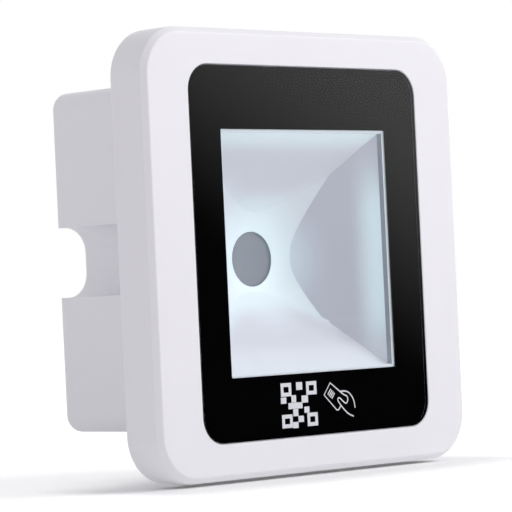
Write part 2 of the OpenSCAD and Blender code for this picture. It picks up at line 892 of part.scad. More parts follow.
module inductor() {
    x = standoff_x - inductor_size / 2;
    y = standoff_y - chip_gap - inductor_size / 2;
    color([0.3, 0.3, 0.32]) upright() translate([-x, -y, 0])
        between(z_main, z_main + inductor_t) round_rect(inductor_size, inductor_size, inductor_r);
}

// Round capacitors, each on a square foot
module capacitors() {
    foot_z = z_main + capacitor_foot_t;
    x = connector_w / 2 + board_gap;
    y = ribbon_y - connector_d / 2 - capacitor_d / 2 - board_gap;
    color([0.75, 0.76, 0.78]) upright() on_both_sides() translate([x, -y, 0]) {
        block(capacitor_d, capacitor_d, z_main, foot_z);
        post(capacitor_d / 2 - edge, foot_z, z_main + capacitor_h);
    }
}

module buzzer() {
    x = standoff_x - buzzer_d / 2;
    y = standoff_y - chip_gap - buzzer_d / 2;
    top = z_main + buzzer_h;
    color([0.1, 0.1, 0.1]) upright() translate([x, -y, 0]) difference() {
        post(buzzer_d / 2, z_main, top);
        post(sound_hole_d / 2, top - sound_hole_depth, top + cut);
    }
}

// Socket on the rear of the main board, open through the rear wall, with a keyway in its top wall
module wire_socket() {
    floor_z = z_main_back - socket_wall;
    color([0.93, 0.92, 0.88]) upright() translate([0, -socket_drop, 0]) difference() {
        block(socket_w, socket_h, z_rear, z_main_back);
        block(socket_w - 2 * socket_wall, socket_h - 2 * socket_wall, z_rear - cut, floor_z);
        translate([0, socket_h / 2, 0])
            block(keyway_w, 2 * socket_wall + cut, z_rear - cut, z_rear + keyway_depth);
        for (i = [0:pin_count - 1])
            translate([(i - (pin_count - 1) / 2) * pin_pitch, 0, 0])
                block(pin_size + 2 * bore_gap, pin_size + 2 * bore_gap, z_rear, z_main_back + cut);
    }
}

module socket_pins() {
    tip = z_main_back - socket_wall - pin_reach;
    color([0.8, 0.7, 0.35]) upright() translate([0, -socket_drop, 0])
        for (i = [0:pin_count - 1])
            translate([(i - (pin_count - 1) / 2) * pin_pitch, 0, 0])
                block(pin_size, pin_size, tip, z_main_back);
}

module board_screws() {
    color([0.6, 0.6, 0.62]) upright() at_corners(standoff_x, standoff_y)
        translate([0, 0, z_main]) pan_screw(board_t + screw_bite);
}

module reflector_screws() {
    color([0.6, 0.6, 0.62]) upright() at_corners(column_x, column_y)
        translate([0, 0, z_antenna]) pan_screw(z_antenna - base_t + screw_bite);
}

// Box with a side notch for each wall screw, in one piece with the base plate
module housing_shell() {
    difference() {
        union() {
            between(0, base_t) round_rect(base_w, base_h, base_r);
            edge_slab(box_w, box_h, box_corner_r, z_rear, 0) box_section();
        }
        between(z_floor, base_t + cut) cavity_outline(0);
        between(z_rear - cut, 0) notch_outline(0);
    }
}

module rear_housing() {
    color([0.9, 0.9, 0.92]) upright() difference() {
        union() {
            housing_shell();
            at_corners(column_x, column_y) post(column_d / 2, z_floor, base_t);
            at_corners(standoff_x, standoff_y) post(standoff_d / 2, z_floor, z_main_back);
        }
        at_corners(column_x, column_y) post(screw_r, base_t - bite_depth, base_t + cut);
        at_corners(standoff_x, standoff_y) post(screw_r, z_main_back - bite_depth, z_main_back + cut);
        for (s = [-1, 1])
            translate([s * screw_spacing / 2, 0, 0])
                between(-cut, base_t + cut) slot_outline(slot_len, slot_w);
        translate([0, -socket_drop, 0])
            block(socket_w + 2 * board_gap, socket_h + 2 * board_gap, z_rear - cut, z_floor + cut);
        snap_ridges(snap_gap);
    }
}

front_bezel();
front_window();
window_mask();
window_tape();
reflector();
lens_window();
lens_gasket();
antenna_board();
antenna_coil();
antenna_ribbon();
ribbon_connector();
light_board();
light_leds();
light_screws();
light_header();
lens_barrel();
lens_glass();
lens_holder();
image_sensor();
camera_board();
camera_spacers();
camera_screws();
camera_nuts();
board_link();
main_board();
processor();
memory_chip();
inductor();
capacitors();
buzzer();
wire_socket();
socket_pins();
board_screws();
reflector_screws();
rear_housing();
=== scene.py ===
import json
from math import asin, cos, hypot, pi, radians, sin, sqrt, tan

import bmesh
import bpy
from mathutils import Matrix, Vector


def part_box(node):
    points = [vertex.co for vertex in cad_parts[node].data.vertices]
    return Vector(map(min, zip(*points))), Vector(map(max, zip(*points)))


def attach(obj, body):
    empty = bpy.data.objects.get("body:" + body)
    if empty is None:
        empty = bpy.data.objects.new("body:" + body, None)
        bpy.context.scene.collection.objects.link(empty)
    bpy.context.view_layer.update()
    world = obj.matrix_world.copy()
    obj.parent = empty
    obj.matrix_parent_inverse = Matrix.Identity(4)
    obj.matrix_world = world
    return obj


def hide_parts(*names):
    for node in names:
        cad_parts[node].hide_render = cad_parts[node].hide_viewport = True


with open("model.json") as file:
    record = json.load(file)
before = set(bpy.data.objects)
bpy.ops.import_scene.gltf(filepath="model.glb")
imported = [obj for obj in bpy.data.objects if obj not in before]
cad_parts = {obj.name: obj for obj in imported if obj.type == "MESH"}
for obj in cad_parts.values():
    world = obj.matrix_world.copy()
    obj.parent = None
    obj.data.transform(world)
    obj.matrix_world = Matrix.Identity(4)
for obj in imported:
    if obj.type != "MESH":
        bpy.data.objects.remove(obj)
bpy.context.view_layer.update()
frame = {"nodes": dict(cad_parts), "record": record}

# Sizes are millimetres in the front view: x to the right, up, and out of the wall towards the viewer
MM = 0.001
ROOT = "root"


def at(x, up, out):
    """A place in the front view as a point in the shared frame."""
    return Vector((x, -out, up)) * MM


def extent(node):
    """Half width, half height, back and front of a CAD node."""
    low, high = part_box(node)
    return (high.x - low.x) / 2 / MM, (high.z - low.z) / 2 / MM, -high.y / MM, -low.y / MM


# Places taken from the frame
BEZEL_X, BEZEL_UP, WALL, FRONT = extent("front_bezel")
PANEL_X, PANEL_UP, PANEL_BACK, PANEL_FRONT = extent("front_window")
MASK_BACK = extent("window_mask")[2]
LEDGE = extent("window_tape")[2]
FLANGE_X, FLANGE_UP, HORN_BACK, RIM = extent("reflector")
LENS_R, _, LENS_BACK, LENS_FRONT = extent("lens_window")
LENS_UP = sum(corner.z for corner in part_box("lens_window")) / 2 / MM
BASE_X, BASE_UP, REAR, BASE_FRONT = extent("rear_housing")
SOCKET_X, SOCKET_HALF, _, _ = extent("wire_socket")
SOCKET_UP = sum(corner.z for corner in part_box("wire_socket")) / 2 / MM

# Bezel
BEZEL_CORNER = 9.5
BEZEL_CHAMFER = 1.1
BEZEL_REAR_ROUND = 0.8
BEZEL_EDGE = 0.22
BEZEL_WALL = 2.2
PANEL_GAP = 0.15
PANEL_CORNER = 5.1
PANEL_EDGE = 0.12
LEDGE_W = 2.5
LEDGE_T = 1.1
RIB_T = 1.4
RIB_REACH = 2.6
RIB_X = 15
RIB_UP = 22

# Clear view and horn
VIEW_X = 22.9
VIEW_UP = 23.75
VIEW_CORNER = 0.3
MOUTH_LIP = 0.6
RIM_WALL = 1.2
RIM_DEPTH = 1.2
WALL_LEAN = radians(43.6)
ROOF_LEAN = radians(47.4)
BOWL_R = 24
BOWL_SLOPE = radians(26)
THROAT_R = 5.45
LENS_RECESS = 0.5
LENS_EDGE = 0.15
LENS_SEAT_R = 6.2
BOSS_R = 7.4
HORN_WALL = 1.2
BOSS_GAP = 0.05
BOSS_SINK = HORN_WALL / 3
FLANGE_T = 1.2
FLANGE_CORNER = 3
SCREW_ACCESS_X = 26.05
SCREW_ACCESS_UP = 4.1
POST_X = 13
POST_R = 2
MOUTH = RIM - RIM_DEPTH
MOUTH_X = VIEW_X - MOUTH_LIP
MOUTH_UP = VIEW_UP - MOUTH_LIP
THROAT = LENS_FRONT + LENS_RECESS
BOWL_OUT = THROAT + sqrt(BOWL_R ** 2 - THROAT_R ** 2)

# Rear housing
BASE_CORNER = 7
BOX_X = 31.8
BOX_UP = 33.5
BOX_CORNER = 3.5
BOX_REAR_ROUND = 2
BOX_EDGE = 0.25
BOX_WALL = 2
NOTCH_UP = 6.9
NOTCH_DEPTH = 7.9
NOTCH_CORNER = 4.9
SLOT_X = 30.15
SLOT_LEN = 7.5
SLOT_W = 4.5
SOCKET_GAP = 0.4
SOCKET_CORNER = 0.4
COLUMN_X = 27.4
COLUMN_UP = 29.1
COLUMN_R = 2.8
COLUMN_GAP = 0.05

# How finely round shapes are cut, and the angle past which an edge is sharp
ARC_STEPS = 14
EDGE_STEPS = 3
ROUND_STEPS = 5
SPIN_STEPS = 144
HOLE_STEPS = 64
SHARP = radians(28)

# How near points have to be to count as one, in a merge and in a cut
WELD = 0.002 * MM
CUT_MATCH = WELD / 10
# Small margin: a slot's ends stay this short of half round, and the notch is told from the rim by it
SLIVER = 0.01

# Radii of a rectangle with square corners
SQUARE = [0] * 4
# Turn that lays a post along the depth of the part
FACING = Matrix.Rotation(pi / 2, 4, "X")


# Mesh tools

def rectangle(half_x, half_up):
    """Corners of a rectangle about the middle of the front view."""
    return [(-half_x, -half_up), (half_x, -half_up), (half_x, half_up), (-half_x, half_up)]


def notched(half_x, half_up, notch_x, notch_up):
    """Corners of a rectangle with a notch in the middle of its left and right sides."""
    right = [
        (half_x, -half_up), (half_x, -notch_up), (notch_x, -notch_up),
        (notch_x, notch_up), (half_x, notch_up), (half_x, half_up),
    ]
    return right + [(-x, -up) for x, up in right]


def rounded_face(bm, corners, radii, out):
    """Flat face through corner points, each rounded by its own radius."""
    known = set(bm.faces)
    verts = [bm.verts.new(at(x, up, out)) for x, up in corners]
    bm.faces.new(verts)
    for vert, radius in zip(verts, radii):
        if radius:
            bmesh.ops.bevel(
                bm, geom=[vert], offset=radius * MM, affect="VERTICES",
                segments=ARC_STEPS, profile=0.5, material=-1,
            )
    return (set(bm.faces) - known).pop()


def rounded_loop(bm, corners, radii, out):
    """Closed loop of edges through corner points, each rounded by its own radius."""
    face = rounded_face(bm, corners, radii, out)
    edges = list(face.edges)
    bmesh.ops.delete(bm, geom=[face], context="FACES_ONLY")
    return edges


def rounded_ring(bm, half_x, half_up, radius, out):
    """Loop round a rectangle with four like corners."""
    return rounded_loop(bm, rectangle(half_x, half_up), [radius] * 4, out)


def depth_of(loop):
    """How deep a flat loop of edges lies."""
    return loop[0].verts[0].co.y


def bridge(bm, *loops):
    """Walls from each loop to the next. Loops in one plane come first, while they have no faces yet."""
    pairs = sorted(zip(loops, loops[1:]), key=lambda pair: abs(depth_of(pair[0]) - depth_of(pair[1])))
    for first, second in pairs:
        bmesh.ops.bridge_loops(bm, edges=first + second)


def fill(bm, *loops):
    """Flat face between an outer loop and the holes inside it."""
    edges = [edge for loop in loops for edge in loop]
    bmesh.ops.triangle_fill(bm, edges=edges, use_beauty=True, use_dissolve=True, normal=(0, -1, 0))


def cylinder(bm, x, up, radius, back, front):
    """Closed post along the depth of the part."""
    bmesh.ops.create_cone(
        bm, cap_ends=True, segments=HOLE_STEPS, radius1=radius * MM, radius2=radius * MM,
        depth=(front - back) * MM,
        matrix=Matrix.Translation(at(x, up, (back + front) / 2)) @ FACING,
    )


def tube(bm, up, inner, outer, back, front):
    """Closed tube round the lens axis."""
    corners = [(inner, back), (outer, back), (outer, front), (inner, front)]
    spun(bm, corners + corners[:1], up)


def spun(bm, profile, up):
    """Surface round an axis at one height, from a section of distances off the axis and depths."""
    verts = [bm.verts.new(at(r, up, out)) for r, out in profile]
    edges = [bm.edges.new(pair) for pair in zip(verts, verts[1:])]
    bmesh.ops.spin(
        bm, geom=verts + edges, cent=at(0, up, 0), axis=(0, 1, 0),
        angle=2 * pi, steps=SPIN_STEPS, use_merge=True,
    )


def block(bm, x, up, half_x, half_up, back, front):
    """Closed block between two depths."""
    size = Matrix.Diagonal((2 * half_x * MM, (front - back) * MM, 2 * half_up * MM, 1))
    bmesh.ops.create_cube(bm, size=1, matrix=Matrix.Translation(at(x, up, (back + front) / 2)) @ size)


def thicken(bm, faces, depth):
    """Gives flat faces a thickness towards the viewer."""
    made = bmesh.ops.extrude_face_region(bm, geom=faces)["geom"]
    verts = [item for item in made if isinstance(item, bmesh.types.BMVert)]
    bmesh.ops.translate(bm, verts=verts, vec=at(0, 0, depth))


def bevel(bm, edges, radius, segments):
    """Rounds edges, or chamfers them with one segment."""
    bmesh.ops.recalc_face_normals(bm, faces=bm.faces)
    bmesh.ops.bevel(
        bm, geom=edges, offset=radius * MM, affect="EDGES",
        segments=segments, profile=0.5, material=-1, clamp_overlap=True,
    )


def soften(bm, radius):
    """Small moulded radius on every edge that is still sharp."""
    bmesh.ops.remove_doubles(bm, verts=bm.verts, dist=WELD)
    bmesh.ops.recalc_face_normals(bm, faces=bm.faces)
    sharp = [edge for edge in bm.edges if edge.is_manifold and edge.calc_face_angle() > SHARP]
    bevel(bm, sharp, radius, EDGE_STEPS)


def finish(bm, name, material, nodes=(), sharp=SHARP):
    """Turns a bmesh into a piece of the object that stands for the CAD nodes named."""
    bmesh.ops.remove_doubles(bm, verts=bm.verts, dist=WELD)
    bmesh.ops.recalc_face_normals(bm, faces=bm.faces)
    for face in bm.faces:
        face.smooth = True
    for edge in bm.edges:
        edge.smooth = edge.calc_face_angle(pi) < sharp
    mesh = bpy.data.meshes.new(name)
    bm.to_mesh(mesh)
    bm.free()
    mesh.materials.append(material)
    piece = bpy.data.objects.new(name, mesh)
    bpy.context.scene.collection.objects.link(piece)
    flats = piece.modifiers.new("flat faces stay flat", "WEIGHTED_NORMAL")
    flats.keep_sharp = True
    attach(piece, ROOT)
    if nodes:
        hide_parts(*nodes)


# Material tools

def linear(code):
    """Linear colour of an sRGB hex code, opaque."""
    channels = [int(code[i:i + 2], 16) / 255 for i in (1, 3, 5)]
    return tuple(c / 12.92 if c <= 0.04045 else ((c + 0.055) / 1.055) ** 2.4 for c in channels) + (1.0,)


def add(tree, kind, settings=None, links=None):
    """Adds a node, with settings for its sockets or properties and links into its inputs."""
    node = tree.nodes.new(kind)
    for key, value in (settings or {}).items():
        if isinstance(key, int) or key in node.inputs:
            node.inputs[key].default_value = value
        else:
            setattr(node, key, value)
    for key, source in (links or {}).items():
        tree.links.new(source, node.inputs[key])
    return node


def new_material(name):
    """An empty material, its node tree and the Object coordinates in it."""
    material = bpy.data.materials.new(name)
    material.use_nodes = True
    tree = material.node_tree
    tree.nodes.clear()
    return material, tree, add(tree, "ShaderNodeTexCoord").outputs["Object"]


def per_metre(size):
    """Texture scale at which one feature has this size."""
    return 1 / (size * MM)


# Sizes of the slow drifts of colour in the plastics
BLOTCH = 14
OPAL_BLOTCH = 9
FILTER_BLOTCH = 5
# How far the roughness drifts to either side, and how strongly grain shades
PLASTIC_DRIFT = 0.06
METAL_DRIFT = 0.08
GRAIN_STRENGTH = 0.5


def moulded(name, dark, light, rough, grain, depth, ior=1.5):
    """Moulded plastic: a slight drift of colour, and the tool's grain, drawn coarse enough to show."""
    material, tree, place = new_material(name)
    drift = add(tree, "ShaderNodeTexNoise", {"Scale": per_metre(BLOTCH)}, {"Vector": place})
    tint = add(
        tree, "ShaderNodeMix", {"data_type": "RGBA", 6: linear(dark), 7: linear(light)},
        {0: drift.outputs["Fac"]},
    )
    pits = add(tree, "ShaderNodeTexNoise", {"Scale": per_metre(grain), "Detail": 3.0}, {"Vector": place})
    gloss = add(
        tree, "ShaderNodeMapRange", {"To Min": rough - PLASTIC_DRIFT, "To Max": rough + PLASTIC_DRIFT},
        {"Value": pits.outputs["Fac"]},
    )
    bump = add(
        tree, "ShaderNodeBump", {"Strength": GRAIN_STRENGTH, "Distance": depth * MM},
        {"Height": pits.outputs["Fac"]},
    )
    shader = add(
        tree, "ShaderNodeBsdfPrincipled", {"IOR": ior},
        {
            "Base Color": tint.outputs[2], "Roughness": gloss.outputs["Result"],
            "Normal": bump.outputs["Normal"],
        },
    )
    add(tree, "ShaderNodeOutputMaterial", None, {"Surface": shader.outputs["BSDF"]})
    return material


def metal(name, dark, light, rough, stretch, grain):
    """Bare or plated metal: bright, with a fine grain, which stretch can draw out into lines."""
    material, tree, place = new_material(name)
    drawn = add(tree, "ShaderNodeMapping", {"Scale": stretch}, {"Vector": place})
    streak = add(
        tree, "ShaderNodeTexNoise", {"Scale": per_metre(grain), "Detail": 4.0},
        {"Vector": drawn.outputs["Vector"]},
    )
    tint = add(
        tree, "ShaderNodeMix", {"data_type": "RGBA", 6: linear(dark), 7: linear(light)},
        {0: streak.outputs["Fac"]},
    )
    gloss = add(
        tree, "ShaderNodeMapRange", {"To Min": rough - METAL_DRIFT, "To Max": rough + METAL_DRIFT},
        {"Value": streak.outputs["Fac"]},
    )
    shader = add(
        tree, "ShaderNodeBsdfPrincipled", {"Metallic": 1.0},
        {"Base Color": tint.outputs[2], "Roughness": gloss.outputs["Result"]},
    )
    add(tree, "ShaderNodeOutputMaterial", None, {"Surface": shader.outputs["BSDF"]})
    return material


def ink(name, dark, light, rough, blotch):
    """Screen ink behind the acrylic: flat, with no shine of its own and a slight unevenness."""
    material, tree, place = new_material(name)
    drift = add(tree, "ShaderNodeTexNoise", {"Scale": per_metre(blotch)}, {"Vector": place})
    tint = add(
        tree, "ShaderNodeMix", {"data_type": "RGBA", 6: linear(dark), 7: linear(light)},
        {0: drift.outputs["Fac"]},
    )
    shader = add(
        tree, "ShaderNodeBsdfPrincipled", {"Roughness": rough, "Specular IOR Level": 0.0},
        {"Base Color": tint.outputs[2]},
    )
    add(tree, "ShaderNodeOutputMaterial", None, {"Surface": shader.outputs["BSDF"]})
    return material


# Materials of the pieces that show

def acrylic():
    """Polished cast acrylic: clear, with a sharp reflection, and light passes it on its way in."""
    material, tree, _ = new_material("clear cast acrylic")
    path = add(tree, "ShaderNodeLightPath").outputs
    glass = add(
        tree, "ShaderNodeBsdfPrincipled",
        {
            "Base Color": linear("#FBFCFD"), "Roughness": 0.0, "IOR": 1.49,
            "Transmission Weight": 1.0,
        },
    )
    clear = add(tree, "ShaderNodeBsdfTransparent", {"Color": linear("#F2F4F6")})
    soft = add(
        tree, "ShaderNodeMixShader", None,
        {0: path["Is Diffuse Ray"], 1: glass.outputs["BSDF"], 2: clear.outputs["BSDF"]},
    )
    lamps = add(
        tree, "ShaderNodeMixShader", None,
        {0: path["Is Shadow Ray"], 1: soft.outputs["Shader"], 2: clear.outputs["BSDF"]},
    )
    add(tree, "ShaderNodeOutputMaterial", None, {"Surface": lamps.outputs["Shader"]})
    return material


# Painted glow round the lens, standing in for the lamps behind the opal: full up to one distance off its
# axis, and gone at the other
GLOW_LENS = 0.33
GLOW_INNER = 4.5
GLOW_OUTER = 16
# Painted glow in bands along the mouth: their strengths, and how far behind it they start and are full
GLOW_TOP = 0.26
GLOW_SIDES = 0.32
GLOW_BOTTOM = 0.06
GLOW_LIP = 0.1
BAND_START = 4.8
BAND_FULL = 0.8
TOP_START = 4.0
TOP_FULL = -0.6
# The side bands are even up to one distance from this height, and gone at the other
BAND_UP = -1.5
BAND_EVEN = 8
BAND_END = 24
# Painted highlights on two wings of the bowl, below and above the lens: strengths, distances off the lens
# axis, heights
WING_LOW = 0.17
WING_HIGH = 0.08
WING_START = 6
WING_FULL = 15
WING_FADE = 17
WING_END = 25
WING_OFF = 1.5
WING_ON = 8
# How far in front of the bowl a wing fades out on the wall that cuts it
WING_SPILL = 2
# Margins by which the bore, the lip, the rim and the walls are told apart
BORE_EDGE = 0.03
LIP_EDGE = 0.01
RIM_EDGE = 0.08
PLANE_MATCH = 0.04


def mouth_glow(tree, axes, sides):
    """Strength of the painted glow in bands along the mouth, for the top, the bottom and the sides."""
    band = add(
        tree, "ShaderNodeMapRange",
        {
            "interpolation_type": "SMOOTHSTEP",
            "From Min": (BAND_START - MOUTH) * MM, "From Max": (BAND_FULL - MOUTH) * MM,
        },
        {"Value": axes["Y"]},
    )
    top = add(
        tree, "ShaderNodeMapRange",
        {
            "interpolation_type": "SMOOTHSTEP",
            "From Min": (TOP_START - MOUTH) * MM, "From Max": (TOP_FULL - MOUTH) * MM, "To Max": GLOW_TOP,
        },
        {"Value": axes["Y"]},
    )
    bottom = add(
        tree, "ShaderNodeMath", {"operation": "MULTIPLY", 1: GLOW_BOTTOM}, {0: band.outputs["Result"]},
    )
    low = add(tree, "ShaderNodeMath", {"operation": "LESS_THAN", 1: 0.0}, {0: axes["Z"]})
    ends = add(
        tree, "ShaderNodeMix", {"data_type": "FLOAT"},
        {0: low.outputs["Value"], 2: top.outputs["Result"], 3: bottom.outputs["Value"]},
    )
    height = add(tree, "ShaderNodeMath", {"operation": "SUBTRACT", 1: BAND_UP * MM}, {0: axes["Z"]})
    off_middle = add(tree, "ShaderNodeMath", {"operation": "ABSOLUTE"}, {0: height.outputs["Value"]})
    fade = add(
        tree, "ShaderNodeMapRange",
        {
            "interpolation_type": "SMOOTHSTEP", "From Min": BAND_END * MM, "From Max": BAND_EVEN * MM,
            "To Max": GLOW_SIDES,
        },
        {"Value": off_middle.outputs["Value"]},
    )
    side = add(
        tree, "ShaderNodeMath", {"operation": "MULTIPLY"},
        {0: band.outputs["Result"], 1: fade.outputs["Result"]},
    )
    glow = add(
        tree, "ShaderNodeMix", {"data_type": "FLOAT"},
        {0: sides, 2: ends.outputs[0], 3: side.outputs["Value"]},
    )
    return glow.outputs[0]


def bowl_glow(tree, axes, radius, sides):
    """Strength of the painted glow round the lens, and of the painted highlights on the two wings of the
    bowl.
    """
    lens = add(
        tree, "ShaderNodeMapRange",
        {
            "interpolation_type": "SMOOTHSTEP", "From Min": GLOW_OUTER * MM, "From Max": GLOW_INNER * MM,
            "To Max": GLOW_LENS,
        },
        {"Value": radius},
    )
    rise, fall = (
        add(
            tree, "ShaderNodeMapRange",
            {"interpolation_type": "SMOOTHSTEP", "From Min": none * MM, "From Max": full * MM},
            {"Value": radius},
        )
        for none, full in ((WING_START, WING_FULL), (WING_END, WING_FADE))
    )
    ring = add(
        tree, "ShaderNodeMath", {"operation": "MULTIPLY"},
        {0: rise.outputs["Result"], 1: fall.outputs["Result"]},
    )
    lower, upper = (
        add(
            tree, "ShaderNodeMapRange",
            {
                "interpolation_type": "SMOOTHSTEP", "From Min": (LENS_UP + way * WING_OFF) * MM,
                "From Max": (LENS_UP + way * WING_ON) * MM, "To Max": strength,
            },
            {"Value": axes["Z"]},
        )
        for way, strength in ((-1, WING_LOW), (1, WING_HIGH))
    )
    level = add(
        tree, "ShaderNodeMath", {"operation": "ADD"},
        {0: lower.outputs["Result"], 1: upper.outputs["Result"]},
    )
    wings = add(
        tree, "ShaderNodeMath", {"operation": "MULTIPLY"},
        {0: ring.outputs["Value"], 1: level.outputs["Value"]},
    )
    cone_tip = BOWL_OUT - BOWL_R / cos(BOWL_SLOPE)
    off_cone = add(
        tree, "ShaderNodeMath", {"operation": "MULTIPLY_ADD", 1: tan(BOWL_SLOPE)},
        {0: radius, 2: axes["Y"]},
    )
    spill = add(
        tree, "ShaderNodeMapRange",
        {
            "interpolation_type": "SMOOTHSTEP", "From Min": -(cone_tip + WING_SPILL) * MM,
            "From Max": -cone_tip * MM,
        },
        {"Value": off_cone.outputs["Value"]},
    )
    spilt = add(
        tree, "ShaderNodeMath", {"operation": "MULTIPLY"},
        {0: wings.outputs["Value"], 1: spill.outputs["Result"]},
    )
    on_bowl = add(
        tree, "ShaderNodeMix", {"data_type": "FLOAT", 3: 0.0}, {0: sides, 2: spilt.outputs["Value"]},
    )
    glow = add(
        tree, "ShaderNodeMath", {"operation": "ADD"}, {0: lens.outputs["Result"], 1: on_bowl.outputs[0]},
    )
    return glow.outputs["Value"]


def painted_shade_places(tree, axes, across, radius):
    """One in the lens bore and on the sides of the straight rim, where the opal gets painted shade, and
    zero elsewhere.
    """
    bore = add(
        tree, "ShaderNodeMath", {"operation": "LESS_THAN", 1: (THROAT_R + BORE_EDGE) * MM}, {0: radius},
    )
    rim_middle = (MOUTH + RIM - RIM_EDGE) / 2
    rim = add(
        tree, "ShaderNodeMath",
        {"operation": "COMPARE", 1: -rim_middle * MM, 2: (RIM - RIM_EDGE - rim_middle) * MM},
        {0: axes["Y"]},
    )
    rim_side = add(
        tree, "ShaderNodeMath", {"operation": "GREATER_THAN", 1: (MOUTH_X - PLANE_MATCH) * MM}, {0: across},
    )
    painted_shade = add(
        tree, "ShaderNodeMath", {"operation": "MULTIPLY_ADD"},
        {0: rim.outputs["Value"], 1: rim_side.outputs["Value"], 2: bore.outputs["Value"]},
    )
    return painted_shade.outputs["Value"]


def opal():
    """Opal polycarbonate, cool white, with a painted glow standing in for the lamps behind it,
    brightest round the lens and towards the mouth.

    Two wings of the bowl, below and above the lens, get painted highlights. The left and right
    walls get painted shade: a greyer base colour. The lens bore and the sides of the straight rim
    get painted shade: a darker base colour, and no painted glow.
    """
    material, tree, place = new_material("opal polycarbonate")
    axes = add(tree, "ShaderNodeSeparateXYZ", None, {"Vector": place}).outputs
    across = add(tree, "ShaderNodeMath", {"operation": "ABSOLUTE"}, {0: axes["X"]}).outputs["Value"]
    side_plane = add(
        tree, "ShaderNodeMath", {"operation": "MULTIPLY_ADD", 1: tan(WALL_LEAN)},
        {0: axes["Y"], 2: across},
    )
    sides = add(
        tree, "ShaderNodeMath",
        {"operation": "COMPARE", 1: (MOUTH_X - MOUTH * tan(WALL_LEAN)) * MM, 2: PLANE_MATCH * MM},
        {0: side_plane.outputs["Value"]},
    ).outputs["Value"]
    flat = add(tree, "ShaderNodeCombineXYZ", None, {"X": axes["X"], "Z": axes["Z"]})
    radius = add(
        tree, "ShaderNodeVectorMath", {"operation": "DISTANCE", 1: tuple(at(0, LENS_UP, 0))},
        {0: flat.outputs["Vector"]},
    ).outputs["Value"]
    painted_shade = painted_shade_places(tree, axes, across, radius)
    drift = add(tree, "ShaderNodeTexNoise", {"Scale": per_metre(OPAL_BLOTCH)}, {"Vector": place})
    bright = add(
        tree, "ShaderNodeMix", {"data_type": "RGBA", 6: linear("#F2F2F7"), 7: linear("#F6F5FA")},
        {0: drift.outputs["Fac"]},
    )
    # Painted shade: the left and right walls get a greyer base colour.
    tint = add(
        tree, "ShaderNodeMix", {"data_type": "RGBA", 7: linear("#DDDDE7")},
        {0: sides, 6: bright.outputs[2]},
    )
    # Painted shade: the lens bore and the sides of the straight rim get a darker base colour.
    colour = add(
        tree, "ShaderNodeMix", {"data_type": "RGBA", 7: linear("#9299A5")}, {0: painted_shade, 6: tint.outputs[2]},
    )
    # Painted glow and painted highlights: emission set by place on the opal.
    glow = add(
        tree, "ShaderNodeMath", {"operation": "ADD"},
        {0: mouth_glow(tree, axes, sides), 1: bowl_glow(tree, axes, radius, sides)},
    )
    # Painted glow on the straight rim in front of the mouth.
    lip = add(
        tree, "ShaderNodeMath", {"operation": "LESS_THAN", 1: -(MOUTH + LIP_EDGE) * MM}, {0: axes["Y"]},
    )
    edged = add(
        tree, "ShaderNodeMix", {"data_type": "FLOAT", 3: GLOW_LIP},
        {0: lip.outputs["Value"], 2: glow.outputs["Value"]},
    )
    # The painted shade also takes the painted glow away there.
    lit = add(
        tree, "ShaderNodeMix", {"data_type": "FLOAT", 3: 0.0}, {0: painted_shade, 2: edged.outputs[0]},
    )
    shader = add(
        tree, "ShaderNodeBsdfPrincipled",
        {"Roughness": 0.42, "IOR": 1.58, "Emission Color": linear("#CCFBFA")},
        {"Base Color": colour.outputs[2], "Emission Strength": lit.outputs[0]},
    )
    add(tree, "ShaderNodeOutputMaterial", None, {"Surface": shader.outputs["BSDF"]})
    return material


def grey_filter():
    """Grey optical plastic: smooth and a little cloudy, so the camera behind it doesn't show."""
    material, tree, place = new_material("grey filter plastic")
    drift = add(tree, "ShaderNodeTexNoise", {"Scale": per_metre(FILTER_BLOTCH)}, {"Vector": place})
    tint = add(
        tree, "ShaderNodeMix", {"data_type": "RGBA", 6: linear("#969BA4"), 7: linear("#9CA1AA")},
        {0: drift.outputs["Fac"]},
    )
    shader = add(
        tree, "ShaderNodeBsdfPrincipled", {"Roughness": 0.3, "IOR": 1.5}, {"Base Color": tint.outputs[2]},
    )
    add(tree, "ShaderNodeOutputMaterial", None, {"Surface": shader.outputs["BSDF"]})
    return material


white_abs = moulded("satin white ABS", "#EDECF1", "#F1F0F5", 0.45, 0.35, 0.004, 1.53)
housing_abs = moulded("fine satin white ABS", "#EEEDF2", "#F2F1F6", 0.5, 0.3, 0.005, 1.53)
clear_acrylic = acrylic()
black_ink = ink("black screen ink", "#040405", "#070708", 0.9, 6)
white_ink = ink("white screen ink", "#E9E9EC", "#F6F6F8", 0.8, 0.4)
opal_plastic = opal()
filter_plastic = grey_filter()

